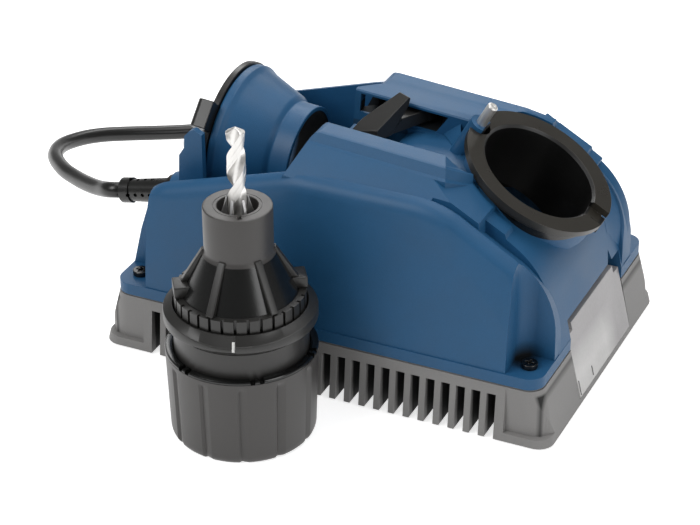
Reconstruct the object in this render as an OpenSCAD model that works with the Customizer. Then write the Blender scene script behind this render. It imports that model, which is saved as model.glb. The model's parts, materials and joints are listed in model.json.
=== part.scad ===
// Bench-top drill bit sharpener with its drill chuck standing in front of it.
// +X runs along the machine to the sharpening port, +Y to its back, +Z up.
// The origin is on the bench, under the middle of the machine and chuck together.

/* [Base] */
// Length of the grey base at the bench
base_len = 217; // [205:1:235]
// Width of the grey base at the bench, front to back
base_wid = 141; // [136:1:150]
// Height of the seam between base and upper housing
base_h = 27.6; // [26:0.2:30]
// How far each end wall leans in, up to the seam
end_lean = 6.1; // [4:0.1:7]
// How far the front and back walls lean in, up to the seam
side_lean = 2.7; // [1.5:0.1:4]
// Radius of the upright corners
corner_r = 7.5; // [6.5:0.5:9]
// Wall thickness of the mouldings
wall = 2.5; // [2:0.1:3]
// Height of the lip under each corner post
lip_h = 4; // [3:0.5:6]
// Rounding of the recess at each corner
corner_recess_r = 12; // [8:0.5:14]
// Length of each corner post along the front
post_len = 21; // [18:1:24]
// Spacing of the vent slots
slot_pitch = 7.05; // [6:0.05:9]
// Width of a vent slot
slot_w = 4.2; // [3:0.1:5]
// Height of the tops of the vent slots
slot_top = 22; // [16:0.5:23]
// Depth of the slats between the vent slots
slat_depth = 11; // [6:0.5:12]
// Radius of a rubber foot
foot_r = 7; // [5:0.5:9]
// How far a rubber foot stands below the base
foot_proud = 0.8; // [0.5:0.1:1.5]
// Thickness of a rubber foot
foot_t = 2.2; // [1.8:0.1:2.6]

/* [Upper housing] */
// Height of the flange above the seam, which floors the screw pockets
flange_h = 5.4; // [4:0.2:7]
// Length of each corner pocket along the machine, from the base's end
pocket_len = 22; // [19:0.5:24]
// Depth of each corner pocket from the base's front or back
pocket_depth = 21.5; // [19:0.5:23]
// Highest point of the arched top
crown_z = 102; // [100:0.5:104]
// How far the front shoulder lies behind the base's front
front_shoulder = 8.5; // [6:0.5:10]
// How far the back shoulder lies ahead of the base's back
back_shoulder = 24.5; // [22:0.5:27]
// Radius of the shoulder's rounding
shoulder_r = 7; // [4:0.5:8]
// Fall of each wing from its shoulder to its inner edge
wing_fall = 8.5; // [5:0.5:10]
// Height of the floor under the alignment tube
deck_z = 62; // [60:0.5:64]
// Height of the front ridge at mid length
ridge_z = 114.6; // [112:0.2:116]
// Slope of the crown block down to the right
crown_tilt = 4.5; // [3:0.1:6]
// Height of the valley floor
valley_z = 97; // [95:0.5:99]
// Width of the valley from front ridge to back wall
valley_wid = 41; // [38:0.5:43]

/* [Sharpening port] */
// Slope of the port's axis above the bench
port_tilt = 60.8; // [59:0.1:63]
// Distance of the port's face centre from the base's right end
port_inset = 34; // [31.5:0.5:36.5]
// Height of the port's face centre
port_z = 95; // [93:0.5:97]
// Bore radius of the port ring
port_r = 26.45; // [25.5:0.05:27]
// Outer radius of the port ring
ring_r = 35.6; // [34.8:0.1:36.5]
// Thickness of the port ring's flange
ring_t = 5.5; // [4.5:0.1:6.5]
// Length of the port ring's sleeve below its flange
sleeve_len = 28; // [20:0.5:30]
// Width of the key slot in the port ring
key_w = 11; // [8:0.5:13]
// Radius of the cam pin
pin_r = 2.4; // [2:0.1:2.8]
// Height of the cam pin above the port's face
pin_up = 12.4; // [10:0.2:15]

/* [Alignment tube] */
// Height of the tube's axis at its flange
tube_z = 79.8; // [79:0.2:81]
// Distance of the tube's flange from the base's left end
tube_inset = 36.5; // [34.5:0.5:38.5]
// Fall of the tube's axis to the right
tube_tilt = 4.7; // [3.5:0.1:5.5]
// Length of the tube
tube_len = 35; // [33:0.5:37]
// Radius of the tube's flange
tube_r = 34.9; // [34:0.1:36]
// Radius of the tube's small end
tube_end_r = 24; // [23:0.1:26]
// Bore radius of the tube's small end
tube_bore_r = 21.6; // [20:0.1:22]
// Thickness of the angle ring
dial_t = 3; // [2.4:0.1:3.6]
// How far the angle ring stands out beyond the tube's flange
dial_over = 0.7; // [0.4:0.1:1]

/* [Stop lever] */
// Width of the lever's slot along the machine
lever_slot_w = 37.1; // [36:0.1:38]
// Height of the lever's slot
lever_slot_h = 9; // [8.7:0.1:9.4]
// Thickness of the lever
lever_t = 6; // [5:0.1:6.4]
// Length of the lever from its pin
lever_len = 37; // [34:0.5:38]
// Angle at which the lever stands to the left of straight out
lever_rest = 28; // [24:0.5:30]
// Radius of the lever's pin
lever_pin_r = 2; // [1.5:0.1:2.5]

/* [Debris tray] */
// Width of the tray
tray_wid = 65.4; // [60:0.2:67]
// Height of the tray's front above the bench
tray_top = 37; // [35:0.5:39]
// Height of the housing's opening above the tray
mouth_top = 42; // [40:0.5:43]
// Wall thickness of the tray
tray_wall = 1.8; // [1.4:0.1:2.2]
// Length of the tray's floor
tray_len = 72; // [68:0.5:73]

/* [Motor] */
// Height of the motor's axis
motor_z = 27; // [26.5:0.1:27.6]
// Radius of the motor can
can_r = 19.5; // [18:0.1:20]
// Length of the motor can
can_len = 54; // [48:0.5:56]
// Radius of the motor shaft
shaft_r = 3; // [2.5:0.1:3.5]
// Radius of the grinding wheel
wheel_r = 18; // [16:0.1:19]
// Width of the grinding wheel
wheel_w = 12; // [8:0.5:14]
// Radius of the cooling fan
fan_r = 18; // [16:0.5:20]

/* [Chuck] */
// Where the chuck stands, along the machine from mid length
chuck_x = -20; // [-40:0.1:20]
// Gap between the standing chuck and the base
stand_gap = 0.6; // [0.6:0.2:4]
// Radius of the chuck's knob
knob_r = 32.8; // [32.2:0.1:33.5]
// Taper of the knob's radius down to its foot
knob_draft = 1.4; // [1:0.1:2]
// Height of the chuck's knob
knob_h = 42.1; // [40:0.1:44]
// Radius of the cam collar
cam_r = 32.9; // [32.2:0.1:33.5]
// Height of the cam collar's underside
cam_z = 55; // [53:0.1:57]
// Radius of the index ring
index_r = 28; // [27:0.1:29]
// Radius of the chuck's nose
nose_r = 14.7; // [14:0.1:15.5]
// Bore radius of the chuck's nose
nose_bore_r = 8.55; // [8:0.05:9]
// Height of the chuck's nose above the bench
nose_top = 108.4; // [104:0.1:110]
// Diameter of the drill bit
bit_d = 7.94; // [6:0.01:8.2]
// Height of the drill bit's tip above the bench
bit_tip = 144.5; // [138:0.5:150]
// Length along which the drill's flutes make one turn
flute_lead = 36; // [30:1:60]
// Thickness of a chuck jaw
jaw_t = 1.2; // [0.8:0.1:1.4]
// How far the jaws open
jaw_open = 2; // [1:0.1:2.2]

/* [Switch] */
// Width of the rocker switch
switch_w = 21; // [18:0.5:24]
// Height of the rocker switch
switch_h = 15; // [13:0.5:16]

/* [Cord] */
// Diameter of the mains cord
cord_d = 7.6; // [7:0.1:7.8]
// Length of the strain relief
relief_len = 26; // [22:0.5:27]

/* [Hidden] */
// Clearance of a seated fit
fit_gap = 0.05;
// Clearance between moving faces
run_gap = 0.3;
// Overlap that makes a cut clean
cut = 1;
// Thickness of the plates that a rounded body is stretched over
skin = 0.2;
// Facets of a full round in a stretched body
hull_fn = 32;
// Length of a bore that goes right through a wall
through = 60;

// Frame: the machine stands behind the chuck, and the origin is midway between their outer edges
chuck_r = max(knob_r, cam_r);
knob_low_r = knob_r - knob_draft;
base_y = (chuck_r + knob_low_r + stand_gap) / 2;
chuck_y = base_y - base_wid / 2 - stand_gap - knob_low_r;

// Base
seam_len = base_len - 2 * end_lean;
seam_wid = base_wid - 2 * side_lean;
floor_z = foot_proud + wall;
seam_reveal = 0.6;
seam_line = 0.8;
pocket_x = base_len / 2 - pocket_len;
pocket_y = base_wid / 2 - pocket_depth;
pocket_z = base_h + flange_h;
pocket_round = 7;
vent_margin = 3;
vent_len = base_len - 2 * (post_len + vent_margin);
slot_count = floor((vent_len + slot_pitch - slot_w) / slot_pitch);
screw_shift = [3.5, 2];
screw_x = pocket_x + pocket_len / 2 - screw_shift[0];
screw_y = pocket_y + pocket_depth / 2 - screw_shift[1];
screw_r = 1.9;
screw_head_r = 3.6;
screw_head_h = 2.4;
screw_len = 16;
screw_slack = 0.2;
cross_len = 4;
cross_w = 0.9;
cross_deep = 1.3;
boss_r = 4.8;
foot_shift = [8, 6];
foot_x = screw_x - foot_shift[0];
foot_y = screw_y - foot_shift[1];

// Places of the port's face and the tube's flange along the machine, and of the arch's last full height
port_x = base_len / 2 - port_inset;
tube_x = base_len / 2 - tube_inset;
arch_in = 34.5;
arch_x = port_x - arch_in;

// Arched profile: circles that the outline is stretched around, as [x, z, radius]
arch_end_r = 24;
left_draft = 7;
right_draft = 4.5;
arch_right_r = 38;
crown_r = 40;
arch_inset = 0.4;
arch_half = seam_len / 2 - arch_inset;
arch_left_x = -10;
left_drop = 42;
right_drop = 52;
arch_circles = [
    [-arch_half + left_draft + arch_end_r, crown_z - left_drop, arch_end_r],
    [arch_left_x, crown_z - crown_r, crown_r],
    [arch_x, crown_z - crown_r, crown_r],
    [arch_half - arch_right_r, crown_z - right_drop, arch_right_r]];
front_y = -seam_wid / 2 + seam_reveal;
back_y = seam_wid / 2 - seam_reveal;
front_top_y = -base_wid / 2 + front_shoulder;
back_top_y = base_wid / 2 - back_shoulder;
front_wing = 20;
back_wing = 8;
wing_front_y = front_top_y + front_wing;
wing_back_y = back_top_y - back_wing;
round_steps = 4;

// Crown block and valley
block_left = -23;
block_root = 10;
wall_left = -17.4;
wall_slant = 9;
wall_edge = 0.6;
back_left = -18;
back_cut = 8;
end_slant = 0.4;
end_drop = 24;
front_round = 3;
back_round = 4;
block_right = port_x - 10.5;
step_x = arch_x + 4;
step_slant = 2;
step_len = 3;
step_y = -52;
valley_front = -31;
valley_back = valley_front + valley_wid;
valley_hole_x = 8;
valley_over = 20;
valley_right = port_x - 28.5;
ridge_wid = 10;
ridge_front = valley_front - ridge_wid;
slope_in = 3;
back_wall_z = ridge_z - 4.8;
back_ridge_z = ridge_z - 4;
band_back = valley_back + 11;
back_in = 1;
slot_roof = 1.6;
deck_t = 7.5;
deck_left = 3;
// Profiles of the ridges, as depth behind their front edge and height from their top
ridge_profile = [[-5, -4.6], [-3.4, -4], [-1, -0.4], [0.4, 0], [ridge_wid - 1.5, 0],
    [ridge_wid - 0.4, -0.6], [ridge_wid, -2]];
back_profile = [[4, -0.4], [6, 0], [12, 0]];
// Last stretch of the front ridge, which turns, narrows and falls towards the port
turn_x = arch_x + 7;
turn_mitre = 22.5;
turn_start = 6;
turn_deep = 14;
turn_point = [port_x - 21.8, ridge_front + 8, ridge_z - 8.9];
turn_across = [-0.46, 0.24];
turn_tall = 1.22;
turn_over = 0.5;
front_trim = -5;

// Sharpening port
port_seat = -ring_t;
sleeve_r = port_r + 3;
collar_r = ring_r - 2.6;
pin_radius = ring_r - 3;
pin_boss_r = pin_r + 2.6;
pin_root = 16;
pin_deep = pin_root - 3;
pin_edge = 0.6;
pin_dimple_r = 0.9;
pin_dimple = 0.5;
boss_up = 1.6;
ring_room = 0.8;
rim_t = 3;
rim_step = 2.2;
bore_edge = 1.2;
key_deep = 3.2;
key_in = 3;
key_hole = [3.6, 4];
key_hole_in = 6;
key_hole_rest = 0.6;
notch_rest = 0.5;
notch_out = 10;
collar_len = 40;
collar_low = 30;
crown_trim = 0.4;
rail_len = 24;
rail_wid = 8;
rail_t = 14;
rail_fall = 6;
rail_y = ring_r + rail_wid / 2 + 0.6;
// The two rails beside the ring, as side, height from the port's face and shift down the slope
rails = [[-1, -6.9, -0.6], [1, -2.6, 5]];
center_front = -rail_y - rail_wid / 2;
center_back = back_top_y - 6;
center_r = 37;
center_x = seam_len / 2 - skin / 2 - center_r - right_draft;
center_z = crown_z - right_drop;
body_drop = 14;
chamber_wall = 3.5;
low_room = 18;
gusset_a = [valley_right - 21.7, valley_back];
gusset_b = [valley_right - 13.4, valley_back];
gusset_c = [valley_right - 5.8, valley_back - 16.5];
gusset_rise = 49.5;
gusset_turn = atan2(gusset_c[1] - gusset_a[1], gusset_c[0] - gusset_a[0]);
gusset_h = 12;

// Alignment tube and angle ring
tube_wall = tube_end_r - tube_bore_r;
tube_rim = 4;
tube_nose = 9;
dial_r = tube_r + dial_over;
dial_gap = run_gap;
dial_bore = tube_r - 6;
tab_angle = 40;
tab_out = 6;
tab_w = 13;
tab_deep = 5;
tab_round = 3;
tab_in = 4;
ear_y = 40;
ear_t = 3.2;
ear_profile = [[-10, 0], [3, 0], [3, 40], [-1, 42], [-3, 41], [-5.7, 38], [-6.1, 32], [-8.7, 28]];
tube_edge = 0.8;
tube_step = [2, 3];
nose_step = [2.4, 2.6];
dial_room = 2;
nose_room = 3;
bore_room = 1;
tube_open = 10;

// Stop lever
slot_left = -14.7;
slot_slant = 5.3;
slot_back = [-9.5, 22, 18];
lever_pivot_x = 12;
lever_pivot_y = valley_back + 9;
slot_low = back_wall_z - slot_roof - lever_slot_h;
lever_z = slot_low + run_gap;
lever_hub_r = 5.5;
hub_room = 4;
pin_low = lever_z - 4;
pin_len = lever_slot_h + 3.8;
lever_arm_w = 10;
arm_end = 10;
paddle_w = 12.6;
paddle_end_w = 6.4;
paddle_t = 4;
paddle_run = 24.2;
paddle_rise = 9.2;
paddle_top = paddle_rise + lever_t;
// Side view of the paddle from its tip, and its plan
paddle_side = [[0, 1.6], [6, 0], [14, 0], [paddle_run, paddle_top - paddle_t],
    [paddle_run + 1, paddle_top - 0.8], [paddle_run, paddle_top], [4, lever_t - 1.4]];
paddle_plan = [[-paddle_w / 2, 0], [paddle_w / 2, 5], [paddle_end_w / 2 + 1.4, paddle_run + 1],
    [-paddle_end_w / 2 + 1.4, paddle_run + 1], [-paddle_w / 2, 7]];

// Debris tray
tray_y = 3.5;
tray_z = floor_z + run_gap;
tray_inset = 0.4;
tray_front = base_len / 2 - tray_inset;
tray_lean = end_lean * (tray_top - foot_proud) / (base_h - foot_proud);
tray_side_h = 22;
tray_back_h = 2.4;
tray_back_x = tray_front - tray_len;
tray_lip = 3;
tray_gap = 0.5;
tray_foot = 1;
// Places along the tray's side where its low edge ends, its full edge starts and its front post starts
tray_low_end = 26;
tray_low_h = 4;
tray_side_start = 34;
tray_post = 20;
tray_post_top = 6;
tray_shoulder = [6, 3.5];
mouth_over = 10;
spike_y = tray_y + 0.33 * tray_wid;
spike_w = 6;
spike_h = 7;
spike_deep = 12;

// Motor and spindle, measured along the machine
wheel_x = port_x - (port_z - motor_z - wheel_r) / tan(port_tilt);
wheel_hub_r = 7;
wheel_rim = 4;
wheel_dish = 2;
collar_t = 4;
nut_r = 6;
nut_h = 5;
shaft_over = 1.5;
shaft_right = wheel_x + wheel_w / 2 + nut_h + shaft_over;
partition_t = 2.5;
partition_w = 66;
partition_gap = 1;
partition_under = 8;
partition_x = min(tray_back_x, wheel_x - wheel_w / 2 - collar_t) - partition_gap - partition_t;
fan_w = 8;
fan_blades = 7;
fan_disc = 1.5;
fan_hub_r = 6;
fan_room = 6.6;
fan_gap = 2;
fan_x = partition_x - fan_room - fan_w - cut;
can_wall = 1.4;
plate_t = 5;
cap_t = 7;
plate_spigot = 3;
bearing_r = 6.5;
bearing_w = 5;
bearing_slack = 0.2;
can_end = fan_x - fan_gap - plate_t;
can_x = can_end - can_len;
shaft_left = can_x - cap_t + cut;
shaft_room = 0.8;
cradle_t = 6;
cradle_in = 5;
cradle_w = 2 * can_r + 10;
rotor_gap = 2;
rotor_r = can_r - can_wall - rotor_gap;
rotor_len = can_len - 2 * bearing_w - 4 * rotor_gap;

// Switch
switch_in = 46.5;
switch_x = switch_in - base_len / 2;
switch_z = pocket_z + 16;
switch_face = base_wid / 2 - 5.5;
switch_flange = 1.6;
switch_depth = 14;
pad_w = switch_w + 9;
pad_h = switch_h + 9;
switch_lip = 2;
switch_side = 2;
switch_edge = 1.5;
switch_room = 20;
rocker_r = switch_h * 0.62;
rocker_tilt = 11;
rocker_pin_r = 1.2;
rocker_in = 3;
rocker_root = 2;
rocker_out = 5.2;
rocker_dip = 1.2;
rocker_taper = 1.6;
rocker_end = 1;
pivot_in = 0.5;

// Strain relief
relief_y = -13;
relief_z = 52;
relief_droop = 12;
relief_r = cord_d / 2 + 2.2;
relief_tip_r = cord_d / 2 + 1.3;
relief_root = 12;
relief_seat = 3.6;
relief_boss_r = relief_r + 3;
relief_x = -base_len / 2 + end_lean + 1;
relief_flange_r = relief_r + 1.6;
relief_flange_t = 3;
relief_neck = 2;
relief_bead = 5;
relief_rows = 4;
relief_first = 9;
relief_step = 4;
relief_hole_r = 0.9;

// Cord: hand-chosen points of the free stretch, from the strain relief to the coil, in the machine's frame
cord_r = cord_d / 2;
coil_x = -45;
coil_back = 61.5;
coil_y = base_wid / 2 + coil_back;
coil_lift = 0.8;
coil_low = cord_r + coil_lift;
coil_pitch = 8.2;
coil_out_r = 54;
coil_turns = 5.125;
coil_climb = 0.5;
coil_rings = 24;
coil_sides = 6;
coil_tail = 36;
route_start = relief_point(relief_len);
route = concat([route_start, relief_point(relief_len + cord_d)],
    [[-143, -7.5, 41], [-153, -1, 37.5], [-165, 7.5, 34], [-180, 19, 30.5], [-194, 34.5, 27],
    [-200.5, 51, 23.5], [-200, 68, 19.5], [-195.5, 82, 16], [-188, 94.5, 12.5], [-178, 107, 9.2],
    [-166, 120, 6.4], [-150, 135, 5], [-131, 151, 4.7], [-110, 165, 4.6], [-88, 176.5, coil_low],
    [-70, 183, coil_low], [coil_x - 2 * cord_d, coil_y + coil_out_r, coil_low],
    [coil_x - cord_d, coil_y + coil_out_r, coil_low]]);
cord_sides = 10;
tie_t = 0.5;
tie_gap = 0.15;
tie_w = 6;
tie_angle = 205;

// Plug
plug_angle = -45;
plug_r = coil_low + coil_pitch;
plug_len = 30;
plug_neck = 12;
plug_neck_r = cord_r + 2;
blade_len = 16;
blade_w = 6.3;
blade_t = 1.5;
blade_step = 12.7;
blade_root = 6;
blade_shift = 2;
ground_r = 2.4;
ground_shift = 6;
ground_more = 3;
plug_taper = 0.8;
plug_shoulder = [[-3, 5], [0, 9]];
plug_edge = 2;

// Chuck
knob_wall = 3.6;
knob_grooves = 12;
groove_r = 2.4;
groove_deep = 0.9;
groove_in = 5;
groove_turn = -65;
knob_lip = 1;
knob_edge = 0.8;
// Rounded foot of the knob, as depth in from its radius and height
knob_foot = [[-1.6, 0], [-0.6, 0.8], [-0.2, 2], [0, 4]];
cap_h = 4;
cap_step = 2;
cap_bore_r = 9;
neck_r = knob_r - knob_wall - run_gap;
neck_z = 14;
hub_r = index_r - 3.2;
cam_step = 6;
cam_h = 9;
cam_low = 0.8;
index_z = cam_z + cam_step;
index_h = 7.6;
index_teeth = 32;
index_room = 0.2;
tooth_gap = 1.3;
tooth_deep = 1.6;
tooth_low = 1.2;
cone_z = index_z + index_h;
cone_top = nose_top - 21.6;
cone_step = [0.8, 1.5];
nose_edge = 0.6;
notch_turn = -59;
notch_wide = 1.5;
notch_r = 12.6;
notch_deep = 2.5;
rib_t = 3.4;
rib_edge = 1.5;
rib_over = [0.6, 2];
rib_r = index_r - 0.6;
rib_count = 6;
rib_turn = -91;
tab_turn = 34;
tab_h = 5;
tab_wide = 10;
tab_root = 6;
cam_slope = 3;
carrier_r = 13.2;
carrier_top = cone_z - cut;
carrier_low = neck_z + 4;
jaw_count = 6;
jaw_deep = 6.2;
jaw_turn = 30;
jaw_roof = 1.6;
// Top of a jaw, as distance from its inner edge and drop from its top
jaw_crown = [[jaw_deep, 17], [2, 6], [0.3, 0], [0, 0.4]];
jaw_in = bit_d / 2 + run_gap;
jaw_low = carrier_top + 1.2;
jaw_up = 4.2;
jaw_top = nose_top + jaw_up;
jaw_slot = jaw_t + 2 * run_gap;
jaw_out = jaw_in + jaw_deep + jaw_open + run_gap;
bit_low = knob_h - 20;
flute_low = cone_z + 4;
point_angle = 118;
point_h = bit_d / 2 / tan(point_angle / 2);
point_r = 0.05;
point_sink = 0.001;
web_r = bit_d * 0.13;
flute_r = bit_d * 0.36;
flute_out = web_r + flute_r;
flute_slices = 40;
flute_turn = -59;
flute_ease = 0.03;

// Places along the drooping strain relief, in the machine's frame
function relief_point(s) =
    [relief_x - s * cos(relief_droop), relief_y, relief_z - s * sin(relief_droop)];

// Coil of the put-away cord: it spirals in on the bench, climbs one layer and spirals out again
coil_mid = coil_turns / 2;
function coil_radius(t) = coil_out_r - coil_pitch * (coil_mid - abs(t - coil_mid));
function coil_rise(t) = min(1, max(0, (t - coil_mid) / coil_climb + 0.5));
function coil_height(t) = coil_low + coil_pitch * (1 - cos(180 * coil_rise(t))) / 2;
function coil_point(t) = let (a = 90 - 360 * t, r = coil_radius(t))
    [coil_x + r * cos(a), coil_y + r * sin(a), coil_height(t)];
coil_steps = round(coil_turns * coil_rings);
coil_turn_points = [for (i = [0 : coil_steps]) coil_point(coil_turns * i / coil_steps)];
plug_heading = [cos(plug_angle), sin(plug_angle), 0];
coil_end = coil_turn_points[coil_steps];
plug_start = coil_end + coil_tail * plug_heading;
coil_points = concat([coil_turn_points[0] - [cord_d, 0, 0]], coil_turn_points, [plug_start]);

// Least gap of the coil to itself, measured between points more than half a turn apart
coil_least = min([for (i = [0 : coil_steps])
    for (j = [i + coil_rings / 2 : 1 : coil_steps])
        norm(coil_turn_points[i] - coil_turn_points[j])]) - cord_d;
echo(coil_gap = coil_least);

// Tube swept along points: rings square to the path, joined by triangles
function unit(v) = v / norm(v);
function path_dir(p, i) = i == 0 ? unit(p[1] - p[0])
    : i == len(p) - 1 ? unit(p[i] - p[i - 1])
    : unit(unit(p[i + 1] - p[i]) + unit(p[i] - p[i - 1]));
function ring_points(p, i, r, n)
    = let (d = path_dir(p, i), u = unit(cross(d, [0, 0, 1])), v = cross(u, d))
    [for (k = [0 : n - 1]) p[i] + r * (cos(360 * k / n) * u + sin(360 * k / n) * v)];
function ring_faces(i, n) = [for (k = [0 : n - 1]) let (a = i * n + k, b = i * n + (k + 1) % n)
    each [[a, b, b + n], [a, b + n, a + n]]];
module lofted(rings) {
    n = len(rings[0]);
    last = len(rings) - 1;
    sides = [for (i = [0 : last - 1]) each ring_faces(i, n)];
    start = [for (k = [1 : n - 2]) [0, k + 1, k]];
    end = [for (k = [1 : n - 2]) [last * n, last * n + k, last * n + k + 1]];
    polyhedron([for (ring = rings) each ring], concat(sides, start, end));
}
module swept_tube(p, r, n) {
    lofted([for (i = [0 : len(p) - 1]) ring_points(p, i, r, n)]);
}

// Smooth path through the hand-chosen points, straight between the first two and the last two
function spline(a, b, c, d, t) = 0.5 * (2 * b + (c - a) * t + (2 * a - 5 * b + 4 * c - d) * t * t
    + (3 * b - a - 3 * c + d) * t * t * t);
function smooth(p, n) = let (m = len(p) - 1) concat([p[0]], [for (i = [1 : m - 2]) for (k = [0 : n - 1])
    spline(p[i - 1], p[i], p[i + 1], p[i + 2], k / n)], [p[m - 1], p[m]]);

// Local frames
module machine() { translate([0, base_y, 0]) children(); }
module spindle() { translate([0, base_y, motor_z]) rotate([0, 90, 0]) children(); }
module port() { translate([port_x, base_y, port_z]) rotate([0, 90 - port_tilt, 0]) children(); }
module tube_axis() { translate([-tube_x, base_y, tube_z]) rotate([0, 90 + tube_tilt, 0]) children(); }
module chuck() { translate([chuck_x, chuck_y, 0]) children(); }
module along_x() { rotate([90, 0, 90]) children(); }
module along_y() { rotate([90, 0, 0]) children(); }
module four_corners(x, y) {
    for (sx = [-1, 1], sy = [-1, 1]) translate([sx * x, sy * y, 0]) children();
}

// Slab with upright round corners
module rounded_slab(l, w, r, h) {
    translate([-l / 2 + r, -w / 2, 0]) cube([l - 2 * r, w, h]);
    translate([-l / 2, -w / 2 + r, 0]) cube([l, w - 2 * r, h]);
    four_corners(l / 2 - r, w / 2 - r) cylinder(r = r, h = h, $fn = 64);
}

// Leaning tray shape between the bench and the seam, drawn in by d
module leaning_slab(d, z0, z1) {
    lean = (z1 - foot_proud) / (base_h - foot_proud);
    low = (z0 - foot_proud) / (base_h - foot_proud);
    hull() {
        for (end = [[low, z0], [lean, z1 - skin]])
            translate([0, 0, end[1]])
                four_corners(base_len / 2 - corner_r - end_lean * end[0],
                    base_wid / 2 - corner_r - side_lean * end[0])
                    cylinder(r = corner_r - d, h = skin, $fn = 48);
    }
}

module lower_base() {
    color("dimgray") machine() difference() {
        union() {
            difference() {
                leaning_slab(0, foot_proud, base_h);
                translate([0, 0, floor_z])
                    rounded_slab(seam_len - 2 * wall, seam_wid - 2 * wall, corner_r - wall, base_h);
            }
            intersection() {
                leaning_slab(wall / 2, foot_proud, base_h - wall);
                for (s = [-1, 1])
                    translate([-vent_len / 2 - wall, s * (base_wid / 2 - slat_depth / 2) - slat_depth / 2,
                        foot_proud])
                        cube([vent_len + 2 * wall, slat_depth, slot_top + wall - foot_proud]);
            }
            four_corners(screw_x, screw_y) translate([0, 0, floor_z - cut])
                cylinder(r = boss_r, h = base_h - floor_z + cut, $fn = 48);
        }
        corner_recesses();
        for (i = [0 : slot_count - 1], s = [-1, 1])
            translate([(i - (slot_count - 1) / 2) * slot_pitch - slot_w / 2,
                s * (base_wid / 2 - slat_depth / 2) - slat_depth / 2 - cut, 0])
                cube([slot_w, slat_depth + 2 * cut, slot_top]);
        four_corners(screw_x, screw_y) translate([0, 0, base_h - screw_len])
            cylinder(r = screw_r, h = screw_len + cut, $fn = 32);
        four_corners(foot_x, foot_y) translate([0, 0, -cut])
            cylinder(r = foot_r + fit_gap, h = foot_t + cut, $fn = 48);
        translate([tray_front - end_lean - 3 * wall, tray_y - tray_wid / 2 - tray_gap, floor_z])
            cube([end_lean + 4 * wall, tray_wid + 2 * tray_gap, base_h]);
        translate([0, 0, base_h - seam_line]) difference() {
            rounded_slab(base_len, base_wid, corner_r, seam_line + cut);
            translate([0, 0, -cut])
                rounded_slab(seam_len - 2 * seam_reveal, seam_wid - 2 * seam_reveal,
                corner_r - seam_reveal, seam_line + 3 * cut);
        }
    }
}

// Recesses above the lip at the four corners, with a rounded back wall
module corner_recesses() {
    deep = corner_recess_r + side_lean;
    tall = base_h - foot_proud - lip_h + cut;
    translate([0, 0, foot_proud + lip_h]) difference() {
        for (sx = [-1, 1], sy = [-1, 1])
            translate([sx * (base_len / 2 - post_len / 2 + cut / 2) - (post_len + cut) / 2,
                sy * (base_wid / 2 + cut - deep / 2) - deep / 2, 0]) cube([post_len + cut, deep, tall]);
        translate([0, 0, -cut]) rounded_slab(base_len, seam_wid, corner_recess_r, tall + 2 * cut);
    }
}

module rubber_feet() {
    color("black") machine() four_corners(foot_x, foot_y) cylinder(r = foot_r, h = foot_t, $fn = 48);
}

module housing_screws() {
    color("silver") machine() four_corners(screw_x, screw_y) difference() {
        union() {
            translate([0, 0, pocket_z]) cylinder(r = screw_head_r, h = screw_head_h, $fn = 40);
            translate([0, 0, base_h - screw_len + cut])
                cylinder(r = screw_r - fit_gap, h = pocket_z - base_h + screw_len - cut, $fn = 32);
        }
        for (a = [0, 90]) rotate([0, 0, a])
            translate([-cross_len / 2, -cross_w / 2, pocket_z + screw_head_h - cross_deep])
            cube([cross_len, cross_w, cross_deep + cut]);
    }
}

// Discs of the arched profile, standing square to Y, at depth y, drawn in by d and lowered by drop
module arch_plate(y, d, drop) {
    for (c = arch_circles) translate([c[0], y, c[1] - drop]) along_y()
        cylinder(r = c[2] - d, h = skin, $fn = hull_fn * 2);
}

// One side of the housing: leaning outer face, rounded shoulder, top falling to the inner edge
module wing(foot_y, top_y, inner_y) {
    s = foot_y < 0 ? 1 : -1;
    hull() {
        for (x = [-arch_half, arch_half], y = [foot_y, inner_y]) translate([x - skin / 2, y, base_h])
            cube([skin, skin, flange_h]);
        for (k = [0 : round_steps])
            arch_plate(top_y + s * shoulder_r * (1 - cos(90 * k / round_steps)),
                shoulder_r * (1 - sin(90 * k / round_steps)), 0);
        arch_plate(inner_y, 0, wing_fall);
    }
}

// Cross-section of the front ridge: front slope, moulded step and ridge
module front_section() {
    slope_y = front_top_y + slope_in;
    polygon(concat([[slope_y, deck_z], [slope_y, crown_z - slope_in]],
        [for (p = ridge_profile) [ridge_front + p[0], ridge_z + p[1]]],
        [[valley_front, deck_z]]));
}

// Cross-section of the wall behind the valley, and of the ridge behind that wall
module wall_section() {
    polygon([[valley_back - cut, deck_z], [valley_back - cut, back_wall_z - wall_edge - cut],
        [valley_back + wall_edge, back_wall_z],
        [band_back + cut, back_wall_z], [band_back + cut, deck_z]]);
}
module back_section() {
    polygon(concat([[band_back, deck_z], [band_back, back_wall_z]],
        [for (p = back_profile) [band_back + p[0], back_ridge_z + p[1]]],
        [[back_top_y - back_in, crown_z - back_in], [back_top_y - back_in, deck_z]]));
}

// Crown's own frame: it slopes down to the right about the ridge at mid length
module crown() {
    translate([0, 0, ridge_z]) rotate([0, crown_tilt, 0]) translate([0, 0, -ridge_z]) children();
}

// Shape seen from the front that slants the left end of a ridge and rounds its top by r
module slanted_end(x, y0, y1, top, r) {
    low = ridge_z - end_drop;
    left = x + end_slant * (top - low);
    translate([0, y1, 0]) along_y() linear_extrude(y1 - y0)
        polygon([[x - end_slant * (low - deck_z), deck_z - cut], [left - end_slant * r, top - r],
            [left + r / 5, top - r / 3], [left + r, top + skin],
            [base_len, top + skin], [base_len, deck_z - cut]]);
}

// All that lies under a plane parallel to the port's face, at the given height from it
module under_port(z) {
    translate([port_x, 0, port_z]) rotate([0, 90 - port_tilt, 0])
        translate([-2 * base_len, -base_wid, z - 2 * ridge_z])
        cube([3 * base_len, 2 * base_wid, 2 * ridge_z]);
}

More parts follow.
